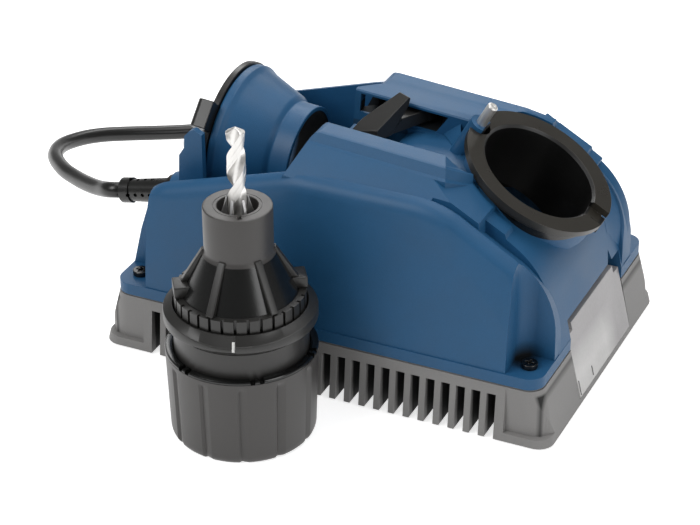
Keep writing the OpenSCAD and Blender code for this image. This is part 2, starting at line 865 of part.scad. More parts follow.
// Front ridge, straight as far as its turn and lower beyond it
module front_ridge() {
    slant = tan(turn_mitre);
    foot = ridge_profile[0][0];
    intersection() {
        crown() intersection() {
            translate([-base_len / 2, 0, 0]) along_x() linear_extrude(base_len) front_section();
            slanted_end(block_left, front_top_y, valley_front + cut, ridge_z, front_round);
        }
        union() {
            under_port(front_trim);
            linear_extrude(2 * ridge_z)
                polygon([[-base_len, ridge_front + foot], [turn_x - slant * foot, ridge_front + foot],
                [turn_x + slant * ridge_front, 0], [-base_len, 0]]);
        }
    }
}

// End of the front ridge: its profile carried from inside the straight stretch to the port
function ridge_top(x) = ridge_z - skin / 2 - x * tan(crown_tilt);
function ridge_place(x, slant, p) = let (at = x - slant * p[0])
    [at, ridge_front + p[0], ridge_top(at) + p[1]];
function turn_place(p) = turn_point + [turn_across[0] * p[0], turn_across[1] * p[0], turn_tall * p[1]];
module ridge_turn() {
    section = concat([[ridge_profile[0][0], -turn_deep]], ridge_profile, [[ridge_wid, -turn_deep]]);
    start = [for (p = section) ridge_place(turn_x - turn_start, 0, p)];
    bend = [for (p = section) ridge_place(turn_x, tan(turn_mitre), p)];
    low = [for (p = section) turn_place(p)];
    end = [for (i = [0 : len(section) - 1]) low[i] + turn_over * (low[i] - bend[i])];
    lofted([start, bend, low, end]);
}

module crown_block() {
    intersection() {
        union() {
            front_ridge();
            ridge_turn();
            crown() {
                intersection() {
                    translate([wall_left, 0, 0]) along_x() linear_extrude(base_len) wall_section();
                    linear_extrude(2 * ridge_z)
                        polygon([[wall_left, valley_back - cut], [wall_left, valley_back + wall],
                        [wall_left + wall_slant, band_back + cut], [base_len, band_back + cut],
                        [base_len, valley_back - cut]]);
                }
                intersection() {
                    translate([-base_len / 2, 0, 0]) along_x() linear_extrude(base_len) back_section();
                    slanted_end(back_left, band_back - cut, back_top_y, back_ridge_z, back_round);
                }
            }
        }
        linear_extrude(2 * ridge_z)
            polygon([[-base_len, front_top_y], [step_x, front_top_y], [step_x + step_slant, step_y],
            [block_right + step_len, step_y], [block_right + step_len, center_back],
            [arch_x + back_cut, back_top_y], [-base_len, back_top_y]]);
        under_port(crown_trim);
    }
}

// Sloped web between the valley's back wall and the pin's boss
module pin_gusset() {
    intersection() {
        translate([0, 0, valley_z - cut]) linear_extrude(gusset_h)
            polygon([gusset_a + [0, cut], gusset_b + [0, cut], gusset_c]);
        translate([gusset_a[0], gusset_a[1], valley_z]) rotate([0, 0, gusset_turn])
            rotate([gusset_rise, 0, 0]) translate([-base_wid / 2, 0, -base_wid])
            cube([base_wid, base_wid, base_wid]);
    }
}

// Raised middle of the right end, around the port
module port_body() {
    translate([0, center_back, 0]) along_y() linear_extrude(center_back - center_front) hull() {
        translate([block_left, base_h]) square([block_root, crown_z - base_h - body_drop]);
        translate([center_x, center_z]) circle(r = center_r, $fn = 96);
        translate([arch_x, crown_z - crown_r]) circle(r = crown_r - cut, $fn = 96);
        translate([center_x, base_h]) square([center_r + right_draft, flange_h]);
    }
}

// Upright ear beside the angle ring
module tube_ear() {
    translate([-tube_x, -ear_y + ear_t / 2, deck_z - cut]) along_y() linear_extrude(ear_t)
        polygon(ear_profile);
}

// Room cut for the tube and the angle ring, with a trough in the deck in line with the bore
module tube_room() {
    tube_solid(fit_gap);
    translate([0, 0, -dial_gap - dial_t - dial_room])
        cylinder(r = dial_r + 2 * run_gap, h = dial_t + dial_gap + dial_room, $fn = 96);
    translate([0, 0, tube_len]) cylinder(r = tube_end_r + fit_gap, h = nose_room, $fn = 96);
    translate([0, 0, -through]) cylinder(r = tube_bore_r + bore_room, h = through, $fn = 96);
}

// Outside of the alignment tube, grown by g
module tube_solid(g) {
    rotate_extrude($fn = 96)
        polygon([[0, -g], [tube_r - tube_edge + g, -g], [tube_r + g, tube_edge], [tube_r + g, tube_rim],
        [tube_r - tube_step[0] + g, tube_rim + tube_step[1]],
        [tube_end_r + nose_step[0] + g, tube_len - tube_nose - nose_step[1]],
        [tube_end_r + g, tube_len - tube_nose], [tube_end_r + g, tube_len + g], [0, tube_len + g]]);
}

module upper_housing() {
    color("steelblue") difference() {
        union() {
            difference() {
                machine() union() {
                    translate([0, 0, base_h]) rounded_slab(seam_len, seam_wid, corner_r, flange_h);
                    difference() {
                        union() {
                            wing(front_y, front_top_y, wing_front_y);
                            wing(back_y, back_top_y, wing_back_y);
                        }
                        corner_pockets();
                    }
                    translate([0, wing_back_y + cut, 0]) along_y()
                        linear_extrude(wing_back_y - wing_front_y + 2 * cut)
                        polygon([[-arch_half, base_h], [-arch_half, pocket_z],
                            [-arch_half + left_draft + deck_left, deck_z],
                            [0, deck_z], [0, base_h]]);
                    port_body();
                    crown_block();
                }
                machine() {
                    housing_cavity();
                    valley();
                    translate([-base_len, -base_wid, base_h - base_len])
                        cube([2 * base_len, 2 * base_wid, base_len]);
                }
                port() translate([0, 0, port_seat])
                    cylinder(r = ring_r + ring_room, h = through, $fn = 128);
            }
            intersection() {
                port() translate([0, 0, port_seat - collar_len])
                    cylinder(r = collar_r, h = collar_len, $fn = 128);
                machine() translate([0, -base_wid / 2, valley_z - collar_low]) difference() {
                    cube([base_len, base_wid, 2 * collar_low]);
                    translate([-cut, -cut, collar_low + skin])
                        cube([valley_right - skin + cut, base_wid + 2 * cut, 2 * collar_low]);
                }
            }
            port() for (rail = rails)
                translate([rail[2], rail[0] * rail_y + rail_wid / 2, rail[1]])
                along_y() linear_extrude(rail_wid)
                polygon([[-rail_len / 2, -rail_t], [-rail_len / 2, 0], [rail_len / 2 - rail_fall, 0],
                    [rail_len / 2, -rail_fall], [rail_len / 2, -rail_t]]);
            port() translate([-pin_radius, 0, port_seat - pin_root])
                cylinder(r = pin_boss_r, h = pin_root + ring_t + boss_up, $fn = 48);
            machine() {
                pin_gusset();
                tube_ear();
            }
            machine() translate([switch_x - pad_w / 2, wing_back_y, switch_z - pad_h / 2])
                cube([pad_w, switch_face - wing_back_y, pad_h]);
            relief_axis() translate([0, 0, -relief_root])
                cylinder(r = relief_boss_r, h = relief_root - relief_seat, $fn = 48);
        }
        port() translate([0, 0, port_seat - through])
            cylinder(r = sleeve_r + fit_gap, h = 2 * through, $fn = 128);
        port() translate([-pin_radius, 0, port_seat - pin_deep])
            cylinder(r = pin_r + fit_gap, h = through, $fn = 40);
        tube_axis() tube_room();
        machine() {
            four_corners(screw_x, screw_y) translate([0, 0, base_h - cut])
                cylinder(r = screw_r + screw_slack, h = flange_h + 2 * cut, $fn = 32);
            tray_opening();
            lever_slot();
            switch_cutout();
        }
        relief_axis() translate([0, 0, -2 * relief_root])
            cylinder(r = relief_r + fit_gap, h = 4 * relief_root, $fn = 48);
        relief_axis() translate([0, 0, -relief_seat - fit_gap])
            cylinder(r = relief_flange_r + fit_gap, h = relief_root, $fn = 48);
    }
}

// Inside of the housing: open below, under the deck, and up into the port's chamber
module housing_cavity() {
    span = pocket_x - wall;
    low_front = front_y + 2 * wall + cut;
    low_back = back_y - 5 * wall;
    translate([-span, low_front, base_h - cut])
        cube([2 * span, low_back - low_front, deck_z - deck_t - base_h + cut]);
    end_room = arch_half - left_draft - 2 * wall;
    translate([-end_room, wall - pocket_y, base_h - cut])
        cube([end_room + arch_half - right_draft - 2 * wall, 2 * (pocket_y - wall), low_room]);
    translate([0, wing_front_y - wall, 0]) along_y() linear_extrude(wing_front_y - front_top_y - 2 * wall)
        intersection() {
        hull() for (c = arch_circles) translate([c[0], c[1] - wing_fall - wall])
            circle(r = c[2] - wall, $fn = 2 * hull_fn);
        translate([-span, base_h - cut]) square([2 * span, crown_z]);
    }
    translate([0, center_back - chamber_wall, 0]) along_y()
        linear_extrude(center_back - center_front - 2 * chamber_wall) difference() {
        union() {
            translate([center_x, center_z]) circle(r = center_r - chamber_wall, $fn = 96);
            translate([block_left + chamber_wall, base_h])
                square([center_x - block_left - chamber_wall, valley_z - chamber_wall - base_h]);
        }
        translate([block_left, valley_z - chamber_wall]) square([base_len, crown_z]);
    }
}

// Open valley between the ridges, deep at the tube's mouth
module valley() {
    left = block_left - valley_over;
    for (end = [[valley_right, valley_z], [valley_hole_x, deck_z]])
        translate([left, valley_front, end[1]]) cube([end[0] - left, valley_wid, ridge_z]);
}

module corner_pockets() {
    for (sx = [-1, 1], sy = [-1, 1]) scale_side(sx, sy) translate([pocket_x, pocket_y, base_h - cut]) {
        translate([pocket_round, 0, 0]) cube([pocket_len, pocket_depth, crown_z]);
        translate([0, pocket_round, 0]) cube([pocket_len, pocket_depth, crown_z]);
        translate([pocket_round, pocket_round, 0]) cylinder(r = pocket_round, h = crown_z, $fn = 48);
    }
}

// Mirrored copies for the four corners
module scale_side(sx, sy) {
    mirror([sx < 0 ? 1 : 0, 0, 0]) mirror([0, sy < 0 ? 1 : 0, 0]) children();
}

module tray_opening() {
    translate([tray_back_x, tray_y - tray_wid / 2 - tray_gap, base_h - cut])
        cube([tray_len + mouth_over, tray_wid + 2 * tray_gap, mouth_top - base_h + cut]);
    translate([arch_half - spike_deep, spike_y, mouth_top - cut]) along_x()
        linear_extrude(spike_deep + mouth_over)
        polygon([[-spike_w / 2, 0], [spike_w / 2, 0], [0, spike_h]]);
}

// Slot in the back wall, slanted at its right end, and the pocket behind it where the lever's hub turns
module lever_slot() {
    right = slot_left + lever_slot_w;
    crown() {
        translate([0, lever_pivot_y, slot_low]) along_y()
            linear_extrude(lever_pivot_y - valley_back + cut)
            polygon([[slot_left, 0], [right, 0], [right + slot_slant, lever_slot_h],
                [slot_left, lever_slot_h]]);
        translate([slot_back[0], valley_back + cut, slot_low])
            cube([slot_back[1] - slot_back[0], slot_back[2], lever_slot_h]);
        translate([lever_pivot_x, lever_pivot_y, slot_low])
            cylinder(r = lever_hub_r + hub_room, h = lever_slot_h, $fn = 64);
    }
    translate([lever_pivot_x, lever_pivot_y, pin_low])
        cylinder(r = lever_pin_r + fit_gap, h = pin_len, $fn = 32);
}

module switch_cutout() {
    translate([switch_x - pad_w / 2, switch_face, switch_z - pad_h / 2]) cube([pad_w, pad_w, pad_h]);
    translate([switch_x - switch_w / 2 - fit_gap, wing_back_y - switch_room,
        switch_z - switch_h / 2 - fit_gap])
        cube([switch_w + 2 * fit_gap, through, switch_h + 2 * fit_gap]);
}

module sharpening_ring() {
    notch_w = pin_boss_r + run_gap;
    color("black") port() difference() {
        union() {
            translate([0, 0, -rim_t]) cylinder(r = ring_r, h = rim_t, $fn = 128);
            translate([0, 0, -ring_t]) cylinder(r = ring_r - rim_step, h = ring_t - rim_t / 2, $fn = 128);
            translate([0, 0, -ring_t - sleeve_len])
                cylinder(r = sleeve_r, h = sleeve_len + cut, $fn = 128);
        }
        translate([0, 0, -ring_t - sleeve_len - cut])
            cylinder(r = port_r, h = ring_t + sleeve_len + 2 * cut, $fn = 128);
        translate([0, 0, -bore_edge])
            cylinder(r1 = port_r - fit_gap, r2 = port_r + bore_edge, h = bore_edge + fit_gap, $fn = 128);
        translate([port_r - key_in, -key_w / 2, -key_deep]) cube([ring_r, key_w, ring_t + key_deep]);
        translate([ring_r - key_hole_in, cut - key_w / 2, key_hole_rest - ring_t])
            cube([key_hole[0], key_hole[1], 2 * ring_t]);
        translate([-pin_radius, 0, -ring_t - notch_rest])
            cylinder(r = notch_w, h = 2 * ring_t, $fn = 48);
        translate([-pin_radius - notch_out, -notch_w, -ring_t - notch_rest])
            cube([notch_out, 2 * notch_w, 2 * ring_t]);
    }
}

module cam_pin() {
    color("silver") port() translate([-pin_radius, 0, 0]) difference() {
        rotate_extrude($fn = 48)
            polygon([[0, port_seat - pin_deep], [pin_r, port_seat - pin_deep], [pin_r, pin_up - pin_edge],
            [pin_r - pin_edge, pin_up], [0, pin_up]]);
        translate([0, 0, pin_up - pin_dimple]) cylinder(r = pin_dimple_r, h = pin_up, $fn = 24);
    }
}

module alignment_tube() {
    color("steelblue") tube_axis() difference() {
        union() {
            tube_solid(0);
            translate([0, 0, -dial_gap - dial_t])
                cylinder(r = dial_bore - fit_gap, h = dial_gap + dial_t + cut, $fn = 96);
        }
        translate([0, 0, -dial_gap - dial_t - cut]) rotate_extrude($fn = 96)
            polygon([[0, 0], [dial_bore - tube_wall, 0], [dial_bore - tube_wall, tube_rim + dial_t],
                [tube_bore_r, tube_len - tube_nose], [tube_bore_r, tube_len + tube_open],
                [0, tube_len + tube_open]]);
    }
}

module angle_ring() {
    color("black") tube_axis() translate([0, 0, -dial_gap - dial_t]) difference() {
        union() {
            cylinder(r = dial_r, h = dial_t, $fn = 96);
            rotate([0, 0, -90 - tab_angle]) dial_tab();
        }
        translate([0, 0, -cut]) cylinder(r = dial_bore, h = dial_t + 2 * cut, $fn = 96);
    }
}

// Thumb tab on the angle ring's rim
module dial_tab() {
    translate([dial_r - tab_in, -tab_w / 2, -tab_deep])
        cube([tab_in + tab_out - tab_round, tab_w, tab_deep + dial_t]);
    translate([dial_r - cut, -tab_w / 2, -tab_deep + tab_round])
        cube([cut + tab_out, tab_w, tab_deep + dial_t - tab_round]);
    translate([dial_r + tab_out - tab_round, tab_w / 2, -tab_deep + tab_round]) along_y()
        cylinder(r = tab_round, h = tab_w, $fn = 32);
}

module stop_lever() {
    color("black") machine() translate([lever_pivot_x, lever_pivot_y, lever_z])
        rotate([0, 0, -lever_rest]) difference() {
        union() {
            cylinder(r = lever_hub_r, h = lever_t, $fn = 48);
            translate([-lever_arm_w / 2, arm_end - lever_len, 0])
                cube([lever_arm_w, lever_len - arm_end, lever_t]);
            translate([0, -lever_len, 0]) intersection() {
                translate([-paddle_w, 0, 0]) along_x() linear_extrude(2 * paddle_w) polygon(paddle_side);
                linear_extrude(3 * lever_t) polygon(paddle_plan);
            }
        }
        translate([0, 0, -cut]) cylinder(r = lever_pin_r + fit_gap, h = lever_t + 2 * cut, $fn = 32);
    }
}

module lever_pin() {
    color("silver") machine() translate([lever_pivot_x, lever_pivot_y, pin_low])
        cylinder(r = lever_pin_r, h = pin_len - fit_gap, $fn = 32);
}

module debris_tray() {
    half = tray_wid / 2;
    front = tray_front - tray_back_x;
    tall = tray_top - tray_z;
    color("lightgray") machine() translate([tray_back_x, tray_y, tray_z]) difference() {
        union() {
            translate([0, -half, 0]) cube([tray_len - 2 * tray_foot, tray_wid, tray_wall]);
            translate([0, -half, 0]) cube([tray_wall, tray_wid, tray_wall + tray_back_h]);
            for (y = [-half + tray_wall, half]) translate([0, y, 0]) along_y() linear_extrude(tray_wall)
                polygon([[0, 0], [front - tray_foot, 0], [front - tray_lean, tall - cut],
                    [front - tray_lean - tray_post_top, tall - cut], [front - tray_post, tray_side_h],
                    [tray_side_start, tray_side_h], [tray_low_end, tray_low_h], [0, tray_low_h]]);
            translate([0, half, 0]) along_y() linear_extrude(tray_wid)
                polygon([[front - tray_foot - tray_wall, 0], [front, 0], [front - tray_lean, tall],
                    [front - tray_lean - tray_wall, tall]]);
            translate([front - tray_lean - tray_wall - tray_lip, -half + 2 * tray_wall, tall - tray_wall])
                cube([tray_lip + tray_wall, tray_wid - 4 * tray_wall, tray_wall]);
        }
        for (s = [-1, 1]) translate([front / 2, s * half - tray_shoulder[0], tall - tray_shoulder[1]])
            cube([front, 2 * tray_shoulder[0], tray_shoulder[1] + cut]);
    }
}

module motor_can() {
    color("gray") spindle() translate([0, 0, can_x]) difference() {
        cylinder(r = can_r, h = can_len, $fn = 96);
        translate([0, 0, -cut]) cylinder(r = can_r - can_wall, h = can_len + 2 * cut, $fn = 96);
    }
}

// End plate of the motor with a seat for its bearing and a spigot inside the can
module motor_plate(t) {
    difference() {
        union() {
            cylinder(r = can_r, h = t, $fn = 96);
            translate([0, 0, -plate_spigot])
                cylinder(r = can_r - can_wall - fit_gap, h = plate_spigot + fit_gap, $fn = 96);
        }
        translate([0, 0, -plate_spigot - cut])
            cylinder(r = bearing_r + fit_gap, h = bearing_w + cut, $fn = 64);
        translate([0, 0, -cut]) cylinder(r = shaft_r + shaft_room, h = t + 2 * cut, $fn = 48);
    }
}

module motor_front_plate() {
    color("silver") spindle() translate([0, 0, can_end]) motor_plate(plate_t);
}

module motor_end_cap() {
    color("black") spindle() translate([0, 0, can_x]) mirror([0, 0, 1]) motor_plate(cap_t);
}

module bearing() {
    difference() {
        cylinder(r = bearing_r, h = bearing_w - bearing_slack, $fn = 64);
        translate([0, 0, -cut]) cylinder(r = shaft_r + fit_gap, h = bearing_w + 2 * cut, $fn = 48);
    }
}

module front_bearing() {
    color("silver") spindle() translate([0, 0, can_end - plate_spigot + bearing_slack]) bearing();
}

module rear_bearing() {
    color("silver") spindle() translate([0, 0, can_x + plate_spigot - bearing_slack])
        mirror([0, 0, 1]) bearing();
}

module motor_cradle() {
    color("dimgray") machine() for (x = [can_x + cradle_in, can_end - cradle_in - cradle_t])
        translate([x, 0, 0])
        difference() {
        translate([0, -cradle_w / 2, floor_z]) cube([cradle_t, cradle_w, motor_z - floor_z]);
        translate([-cut, 0, motor_z]) rotate([0, 90, 0])
            cylinder(r = can_r + fit_gap, h = cradle_t + 2 * cut, $fn = 96);
    }
}

module dust_partition() {
    color("dimgray") machine() difference() {
        translate([partition_x, -partition_w / 2, floor_z])
            cube([partition_t, partition_w, deck_z - floor_z - partition_under]);
        translate([partition_x - cut, 0, motor_z]) rotate([0, 90, 0])
            cylinder(r = shaft_r + shaft_room, h = partition_t + 2 * cut, $fn = 48);
    }
}

module motor_shaft() {
    color("silver") spindle() {
        translate([0, 0, shaft_left]) cylinder(r = shaft_r, h = shaft_right - shaft_left, $fn = 48);
        translate([0, 0, wheel_x - wheel_w / 2 - collar_t])
            cylinder(r = wheel_hub_r, h = collar_t - fit_gap, $fn = 48);
    }
}

// Part on the shaft with a close bore
module on_shaft() {
    difference() {
        children();
        translate([0, 0, -base_len]) cylinder(r = shaft_r + fit_gap, h = 2 * base_len, $fn = 48);
    }
}

module rotor_core() {
    color("saddlebrown") spindle() on_shaft() translate([0, 0, can_x + (can_len - rotor_len) / 2])
        cylinder(r = rotor_r, h = rotor_len, $fn = 64);
}

module cooling_fan() {
    color("black") spindle() on_shaft() translate([0, 0, fan_x]) {
        cylinder(r = fan_hub_r, h = fan_w + cut, $fn = 48);
        cylinder(r = fan_r, h = fan_disc, $fn = 64);
        for (i = [0 : fan_blades - 1]) rotate([0, 0, 360 * i / fan_blades])
            translate([fan_hub_r - cut, -fan_disc / 2, fan_disc / 2])
                cube([fan_r - fan_hub_r, fan_disc, fan_w - fan_disc / 2]);
    }
}

module grinding_wheel() {
    color("goldenrod") spindle() on_shaft() translate([0, 0, wheel_x - wheel_w / 2]) difference() {
        cylinder(r = wheel_r, h = wheel_w, $fn = 96);
        for (z = [-cut, wheel_w - wheel_dish]) translate([0, 0, z]) difference() {
            cylinder(r = wheel_r - wheel_rim, h = wheel_dish + cut, $fn = 96);
            translate([0, 0, -cut]) cylinder(r = wheel_hub_r, h = wheel_dish + 3 * cut, $fn = 48);
        }
    }
}

module wheel_nut() {
    color("silver") spindle() on_shaft() translate([0, 0, wheel_x + wheel_w / 2 + fit_gap])
        cylinder(r = nut_r, h = nut_h, $fn = 6);
}

module switch_body() {
    color("black") machine() translate([switch_x, switch_face, switch_z]) difference() {
        union() {
            translate([-switch_w / 2, -switch_depth, -switch_h / 2])
                cube([switch_w, switch_depth + fit_gap, switch_h]);
            translate([-switch_w / 2 - switch_lip, fit_gap, -switch_h / 2 - switch_lip])
                cube([switch_w + 2 * switch_lip, switch_flange, switch_h + 2 * switch_lip]);
        }
        translate([-switch_w / 2 + switch_side, -rocker_r, -switch_h / 2 + switch_edge])
            cube([switch_w - 2 * switch_side, 2 * switch_depth, switch_h - 2 * switch_edge]);
        translate([-switch_w, -rocker_in, 0]) rotate([0, 90, 0])
            cylinder(r = rocker_pin_r, h = 2 * switch_w, $fn = 32);
    }
}

module switch_rocker() {
    width = switch_w - 2 * switch_side - 2 * run_gap;
    half = switch_h / 2 - switch_edge - run_gap;
    color("firebrick") machine() translate([switch_x, switch_face - rocker_in, switch_z])
        rotate([rocker_tilt, 0, 0]) {
        translate([-width / 2, 0, 0]) along_x() linear_extrude(width)
            polygon([[-rocker_root, rocker_taper - half], [rocker_out, rocker_end - half],
                [rocker_out - rocker_dip, 0], [rocker_out, half - rocker_end],
                [-rocker_root, half - rocker_taper]]);
        translate([pivot_in - switch_w / 2, 0, 0]) rotate([0, 90, 0])
            cylinder(r = rocker_pin_r - fit_gap, h = switch_w - 2 * pivot_in, $fn = 32);
    }
}

// Axis of the strain relief, pointing out of the left end and drooping
module relief_axis() {
    translate([relief_x, base_y + relief_y, relief_z]) rotate([0, -90 - relief_droop, 0]) children();
}

module strain_relief() {
    color("black") relief_axis() difference() {
        union() {
            translate([0, 0, -relief_root])
                cylinder(r = relief_r, h = relief_root + relief_neck + cut, $fn = 48);
            translate([0, 0, -relief_seat]) cylinder(r = relief_flange_r, h = relief_flange_t, $fn = 48);
            translate([0, 0, relief_neck])
                cylinder(r1 = relief_r, r2 = relief_tip_r, h = relief_len - relief_neck, $fn = 48);
            translate([0, 0, relief_len - relief_bead]) cylinder(r = relief_r, h = relief_bead, $fn = 48);
        }
        for (i = [0 : relief_rows - 1], a = [0, 90])
            translate([0, 0, relief_first + relief_step * i]) rotate([90, 0, a])
            translate([0, 0, -through / 2]) cylinder(r = relief_hole_r, h = through, $fn = 16);
    }
}

module cord_run() {
    color("black") machine() swept_tube(smooth(route, 2), cord_r, cord_sides);
}

module cord_coil() {
    color("black") machine() swept_tube(coil_points, cord_r, coil_sides);
}

// Band round the coil's turns, as wide as they lie at its place
module coil_tie() {
    turn = 1 - (tie_angle - 90) / 360;
    near = coil_radius(turn + 2) - cord_r - run_gap;
    far = max(coil_radius(turn), coil_radius(turn + 4)) + cord_r + run_gap;
    tall = coil_pitch + cord_d + 2 * tie_gap;
    color("black") machine() translate([coil_x, coil_y, coil_lift - tie_gap]) rotate([0, 0, tie_angle])
        translate([near, -tie_w / 2, 0]) difference() {
            translate([-tie_t, 0, -tie_t]) cube([far - near + 2 * tie_t, tie_w, tall + 2 * tie_t]);
            translate([0, -cut, 0]) cube([far - near, tie_w + 2 * cut, tall]);
        }
}

// Plug's own frame: along the cord's last heading
module plug_axis() {
    translate([0, base_y, 0]) translate(plug_start) rotate([0, 0, plug_angle]) rotate([0, 90, 0])
        children();
}

module plug_body() {
    color("black") plug_axis() difference() {
        rotate_extrude($fn = 64)
            polygon(concat([[0, 0], [plug_neck_r - plug_taper, 0], [plug_neck_r, plug_neck]],
            [for (p = plug_shoulder) [plug_r + p[0], plug_neck + p[1]]],
            [[plug_r, plug_neck + plug_len - plug_edge], [plug_r - plug_edge, plug_neck + plug_len],
            [0, plug_neck + plug_len]]));
        translate([0, 0, plug_neck + plug_len - blade_root]) plug_pins(fit_gap);
    }
}

// Two flat blades and a round ground pin, grown by g for their sockets
module plug_pins(g) {
    for (s = [-1, 1])
        translate([blade_shift - blade_w / 2 - g, s * blade_step / 2 - blade_t / 2 - g, 0])
        cube([blade_w + 2 * g, blade_t + 2 * g, blade_len + blade_root]);
    translate([-ground_shift, 0, 0])
        cylinder(r = ground_r + g, h = blade_len + blade_root + ground_more, $fn = 32);
}

module plug_blades() {
    color("silver") plug_axis() translate([0, 0, plug_neck + plug_len - blade_root]) plug_pins(0);
}

module chuck_knob() {
    inner = knob_r - knob_wall;
    lean = atan(knob_draft / knob_h);
    color("black") chuck() difference() {
        rotate_extrude($fn = 128)
            polygon(concat([[inner - knob_lip, 0]], [for (p = knob_foot) [knob_low_r + p[0], p[1]]],
            [[knob_r, knob_h - knob_edge], [knob_r - knob_edge, knob_h], [inner, knob_h],
            [inner, cap_h], [inner - knob_lip, cap_h]]));
        for (i = [0 : knob_grooves - 1]) rotate([0, 0, groove_turn + 360 * i / knob_grooves])
            translate([knob_low_r + groove_r - groove_deep, 0, 0]) rotate([0, lean, 0]) {
            translate([0, 0, -cut]) cylinder(r = groove_r, h = knob_h - groove_in + cut, $fn = 32);
            translate([0, 0, knob_h - groove_in]) sphere(r = groove_r, $fn = 32);
        }
    }
}

module knob_cap() {
    color("black") chuck() difference() {
        union() {
            cylinder(r = knob_r - knob_wall - knob_lip - fit_gap, h = cap_h, $fn = 96);
            translate([0, 0, cap_h]) cylinder(r = knob_r - knob_wall - fit_gap, h = cap_step, $fn = 96);
        }
        translate([0, 0, -cut]) cylinder(r = cap_bore_r, h = cap_h + cap_step + 2 * cut, $fn = 48);
    }
}

module chuck_shell() {
    bore = carrier_r + fit_gap;
    color("black") chuck() difference() {
        union() {
            rotate_extrude($fn = 128)
                polygon([[bore, neck_z], [neck_r, neck_z], [neck_r, cam_z], [hub_r, cam_z],
                [hub_r, cone_z],
                [nose_r + cone_step[0], cone_top], [nose_r, cone_top + cone_step[1]],
                [nose_r, nose_top - nose_edge], [nose_r - nose_edge, nose_top], [nose_bore_r, nose_top],
                [nose_bore_r, carrier_top], [bore, carrier_top]]);
            for (i = [0 : rib_count - 1]) rotate([0, 0, rib_turn + 360 * i / rib_count])
                translate([0, rib_t / 2, 0]) along_y() linear_extrude(rib_t)
                polygon([[nose_r - cut, cone_z + 2 * fit_gap], [rib_r, cone_z + 2 * fit_gap],
                    [rib_r, cone_z + rib_edge], [nose_r + rib_over[0], cone_top + rib_over[1]],
                    [nose_r - cut, cone_top + rib_over[1]]]);
            for (s = [0, 180]) rotate([0, 0, tab_turn + s])
                translate([hub_r - tab_root, -tab_wide / 2, cone_z + fit_gap])
                cube([index_r - hub_r + tab_root, tab_wide, tab_h]);
        }
        for (i = [0 : jaw_count - 1]) rotate([0, 0, jaw_turn + 360 * i / jaw_count])
            translate([0, -jaw_slot / 2, carrier_top - cut])
            cube([jaw_out, jaw_slot, nose_top - jaw_roof - carrier_top + cut]);
        rotate([0, 0, notch_turn]) translate([0, -notch_wide / 2, nose_top - notch_deep])
            cube([notch_r, notch_wide, notch_deep + cut]);
    }
}

module cam_collar() {
    color("black") chuck() difference() {
        translate([0, 0, cam_z]) cylinder(r = cam_r, h = cam_h, $fn = 128);
        translate([0, 0, cam_z - cut]) cylinder(r = hub_r + fit_gap, h = through, $fn = 96);
        translate([0, 0, index_z]) cylinder(r = index_r + fit_gap + index_room, h = through, $fn = 96);
        for (s = [-1, 1]) translate([0, 0, index_z + cam_low]) rotate([0, -s * cam_slope, 0])
            translate([-2 * cam_r, s > 0 ? 0 : -2 * cam_r, 0]) cube([4 * cam_r, 2 * cam_r, through]);
    }
}

module index_ring() {
    color("black") chuck() difference() {
        translate([0, 0, index_z]) cylinder(r = index_r, h = index_h, $fn = 128);
        translate([0, 0, index_z - cut]) cylinder(r = hub_r + fit_gap, h = through, $fn = 96);
        for (i = [0 : index_teeth - 1]) rotate([0, 0, 360 * i / index_teeth])
            translate([index_r - tooth_deep, -tooth_gap / 2, index_z + tooth_low])
            cube([2 * tooth_deep, tooth_gap, index_h]);
    }
}

module jaw_carrier() {
    color("dimgray") chuck() difference() {
        translate([0, 0, carrier_low])
            cylinder(r = carrier_r, h = carrier_top - carrier_low - fit_gap, $fn = 96);
        translate([0, 0, neck_z]) cylinder(r = bit_d / 2 + run_gap, h = nose_top, $fn = 64);
    }
}

// One thin steel jaw, numbered round the nose
module jaw(i) {
    color("silver") chuck() rotate([0, 0, jaw_turn + 360 * (i - 1) / jaw_count])
        translate([jaw_in, jaw_t / 2, 0]) along_y() linear_extrude(jaw_t)
        polygon(concat([[0, jaw_low], [jaw_deep, jaw_low]],
            [for (p = jaw_crown) [p[0], jaw_top - p[1]]]));
}

module jaw_1() { jaw(1); }
module jaw_2() { jaw(2); }
module jaw_3() { jaw(3); }
module jaw_4() { jaw(4); }
module jaw_5() { jaw(5); }
module jaw_6() { jaw(6); }

// Twist drill: round shank, two flutes wound round the body and a ground point
module drill_bit() {
    body = bit_tip - flute_low;
    color("silver") chuck() {
        translate([0, 0, bit_low]) cylinder(r = bit_d / 2, h = flute_low - bit_low, $fn = 64);
        translate([0, 0, flute_low]) intersection() {
            rotate([0, 0, flute_turn])
                linear_extrude(body, twist = -360 * body / flute_lead, slices = flute_slices) difference() {
                    circle(r = bit_d / 2 - flute_ease, $fn = 32);
                    for (s = [-1, 1]) translate([s * flute_out, 0]) circle(r = flute_r, $fn = 20);
                }
            union() {
                cylinder(r = bit_d, h = body - point_h, $fn = 32);
                translate([0, 0, body - point_h - point_sink])
                    cylinder(r1 = bit_d / 2, r2 = point_r, h = point_h, $fn = 32);
            }
        }
    }
}

lower_base();
upper_housing();
housing_screws();
rubber_feet();
sharpening_ring();
cam_pin();
alignment_tube();
angle_ring();
stop_lever();
lever_pin();
debris_tray();
motor_can();
motor_end_cap();
motor_front_plate();
motor_cradle();
dust_partition();
front_bearing();
rear_bearing();
motor_shaft();
rotor_core();
cooling_fan();
grinding_wheel();
wheel_nut();
switch_body();
switch_rocker();
strain_relief();
cord_run();
cord_coil();
coil_tie();
plug_body();
plug_blades();
chuck_shell();
cam_collar();
index_ring();
chuck_knob();
knob_cap();
jaw_carrier();
jaw_1();
jaw_2();
jaw_3();
jaw_4();
jaw_5();
jaw_6();
drill_bit();
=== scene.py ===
import json
import math

import bmesh
import bpy
import numpy as np
from mathutils import Matrix, Vector


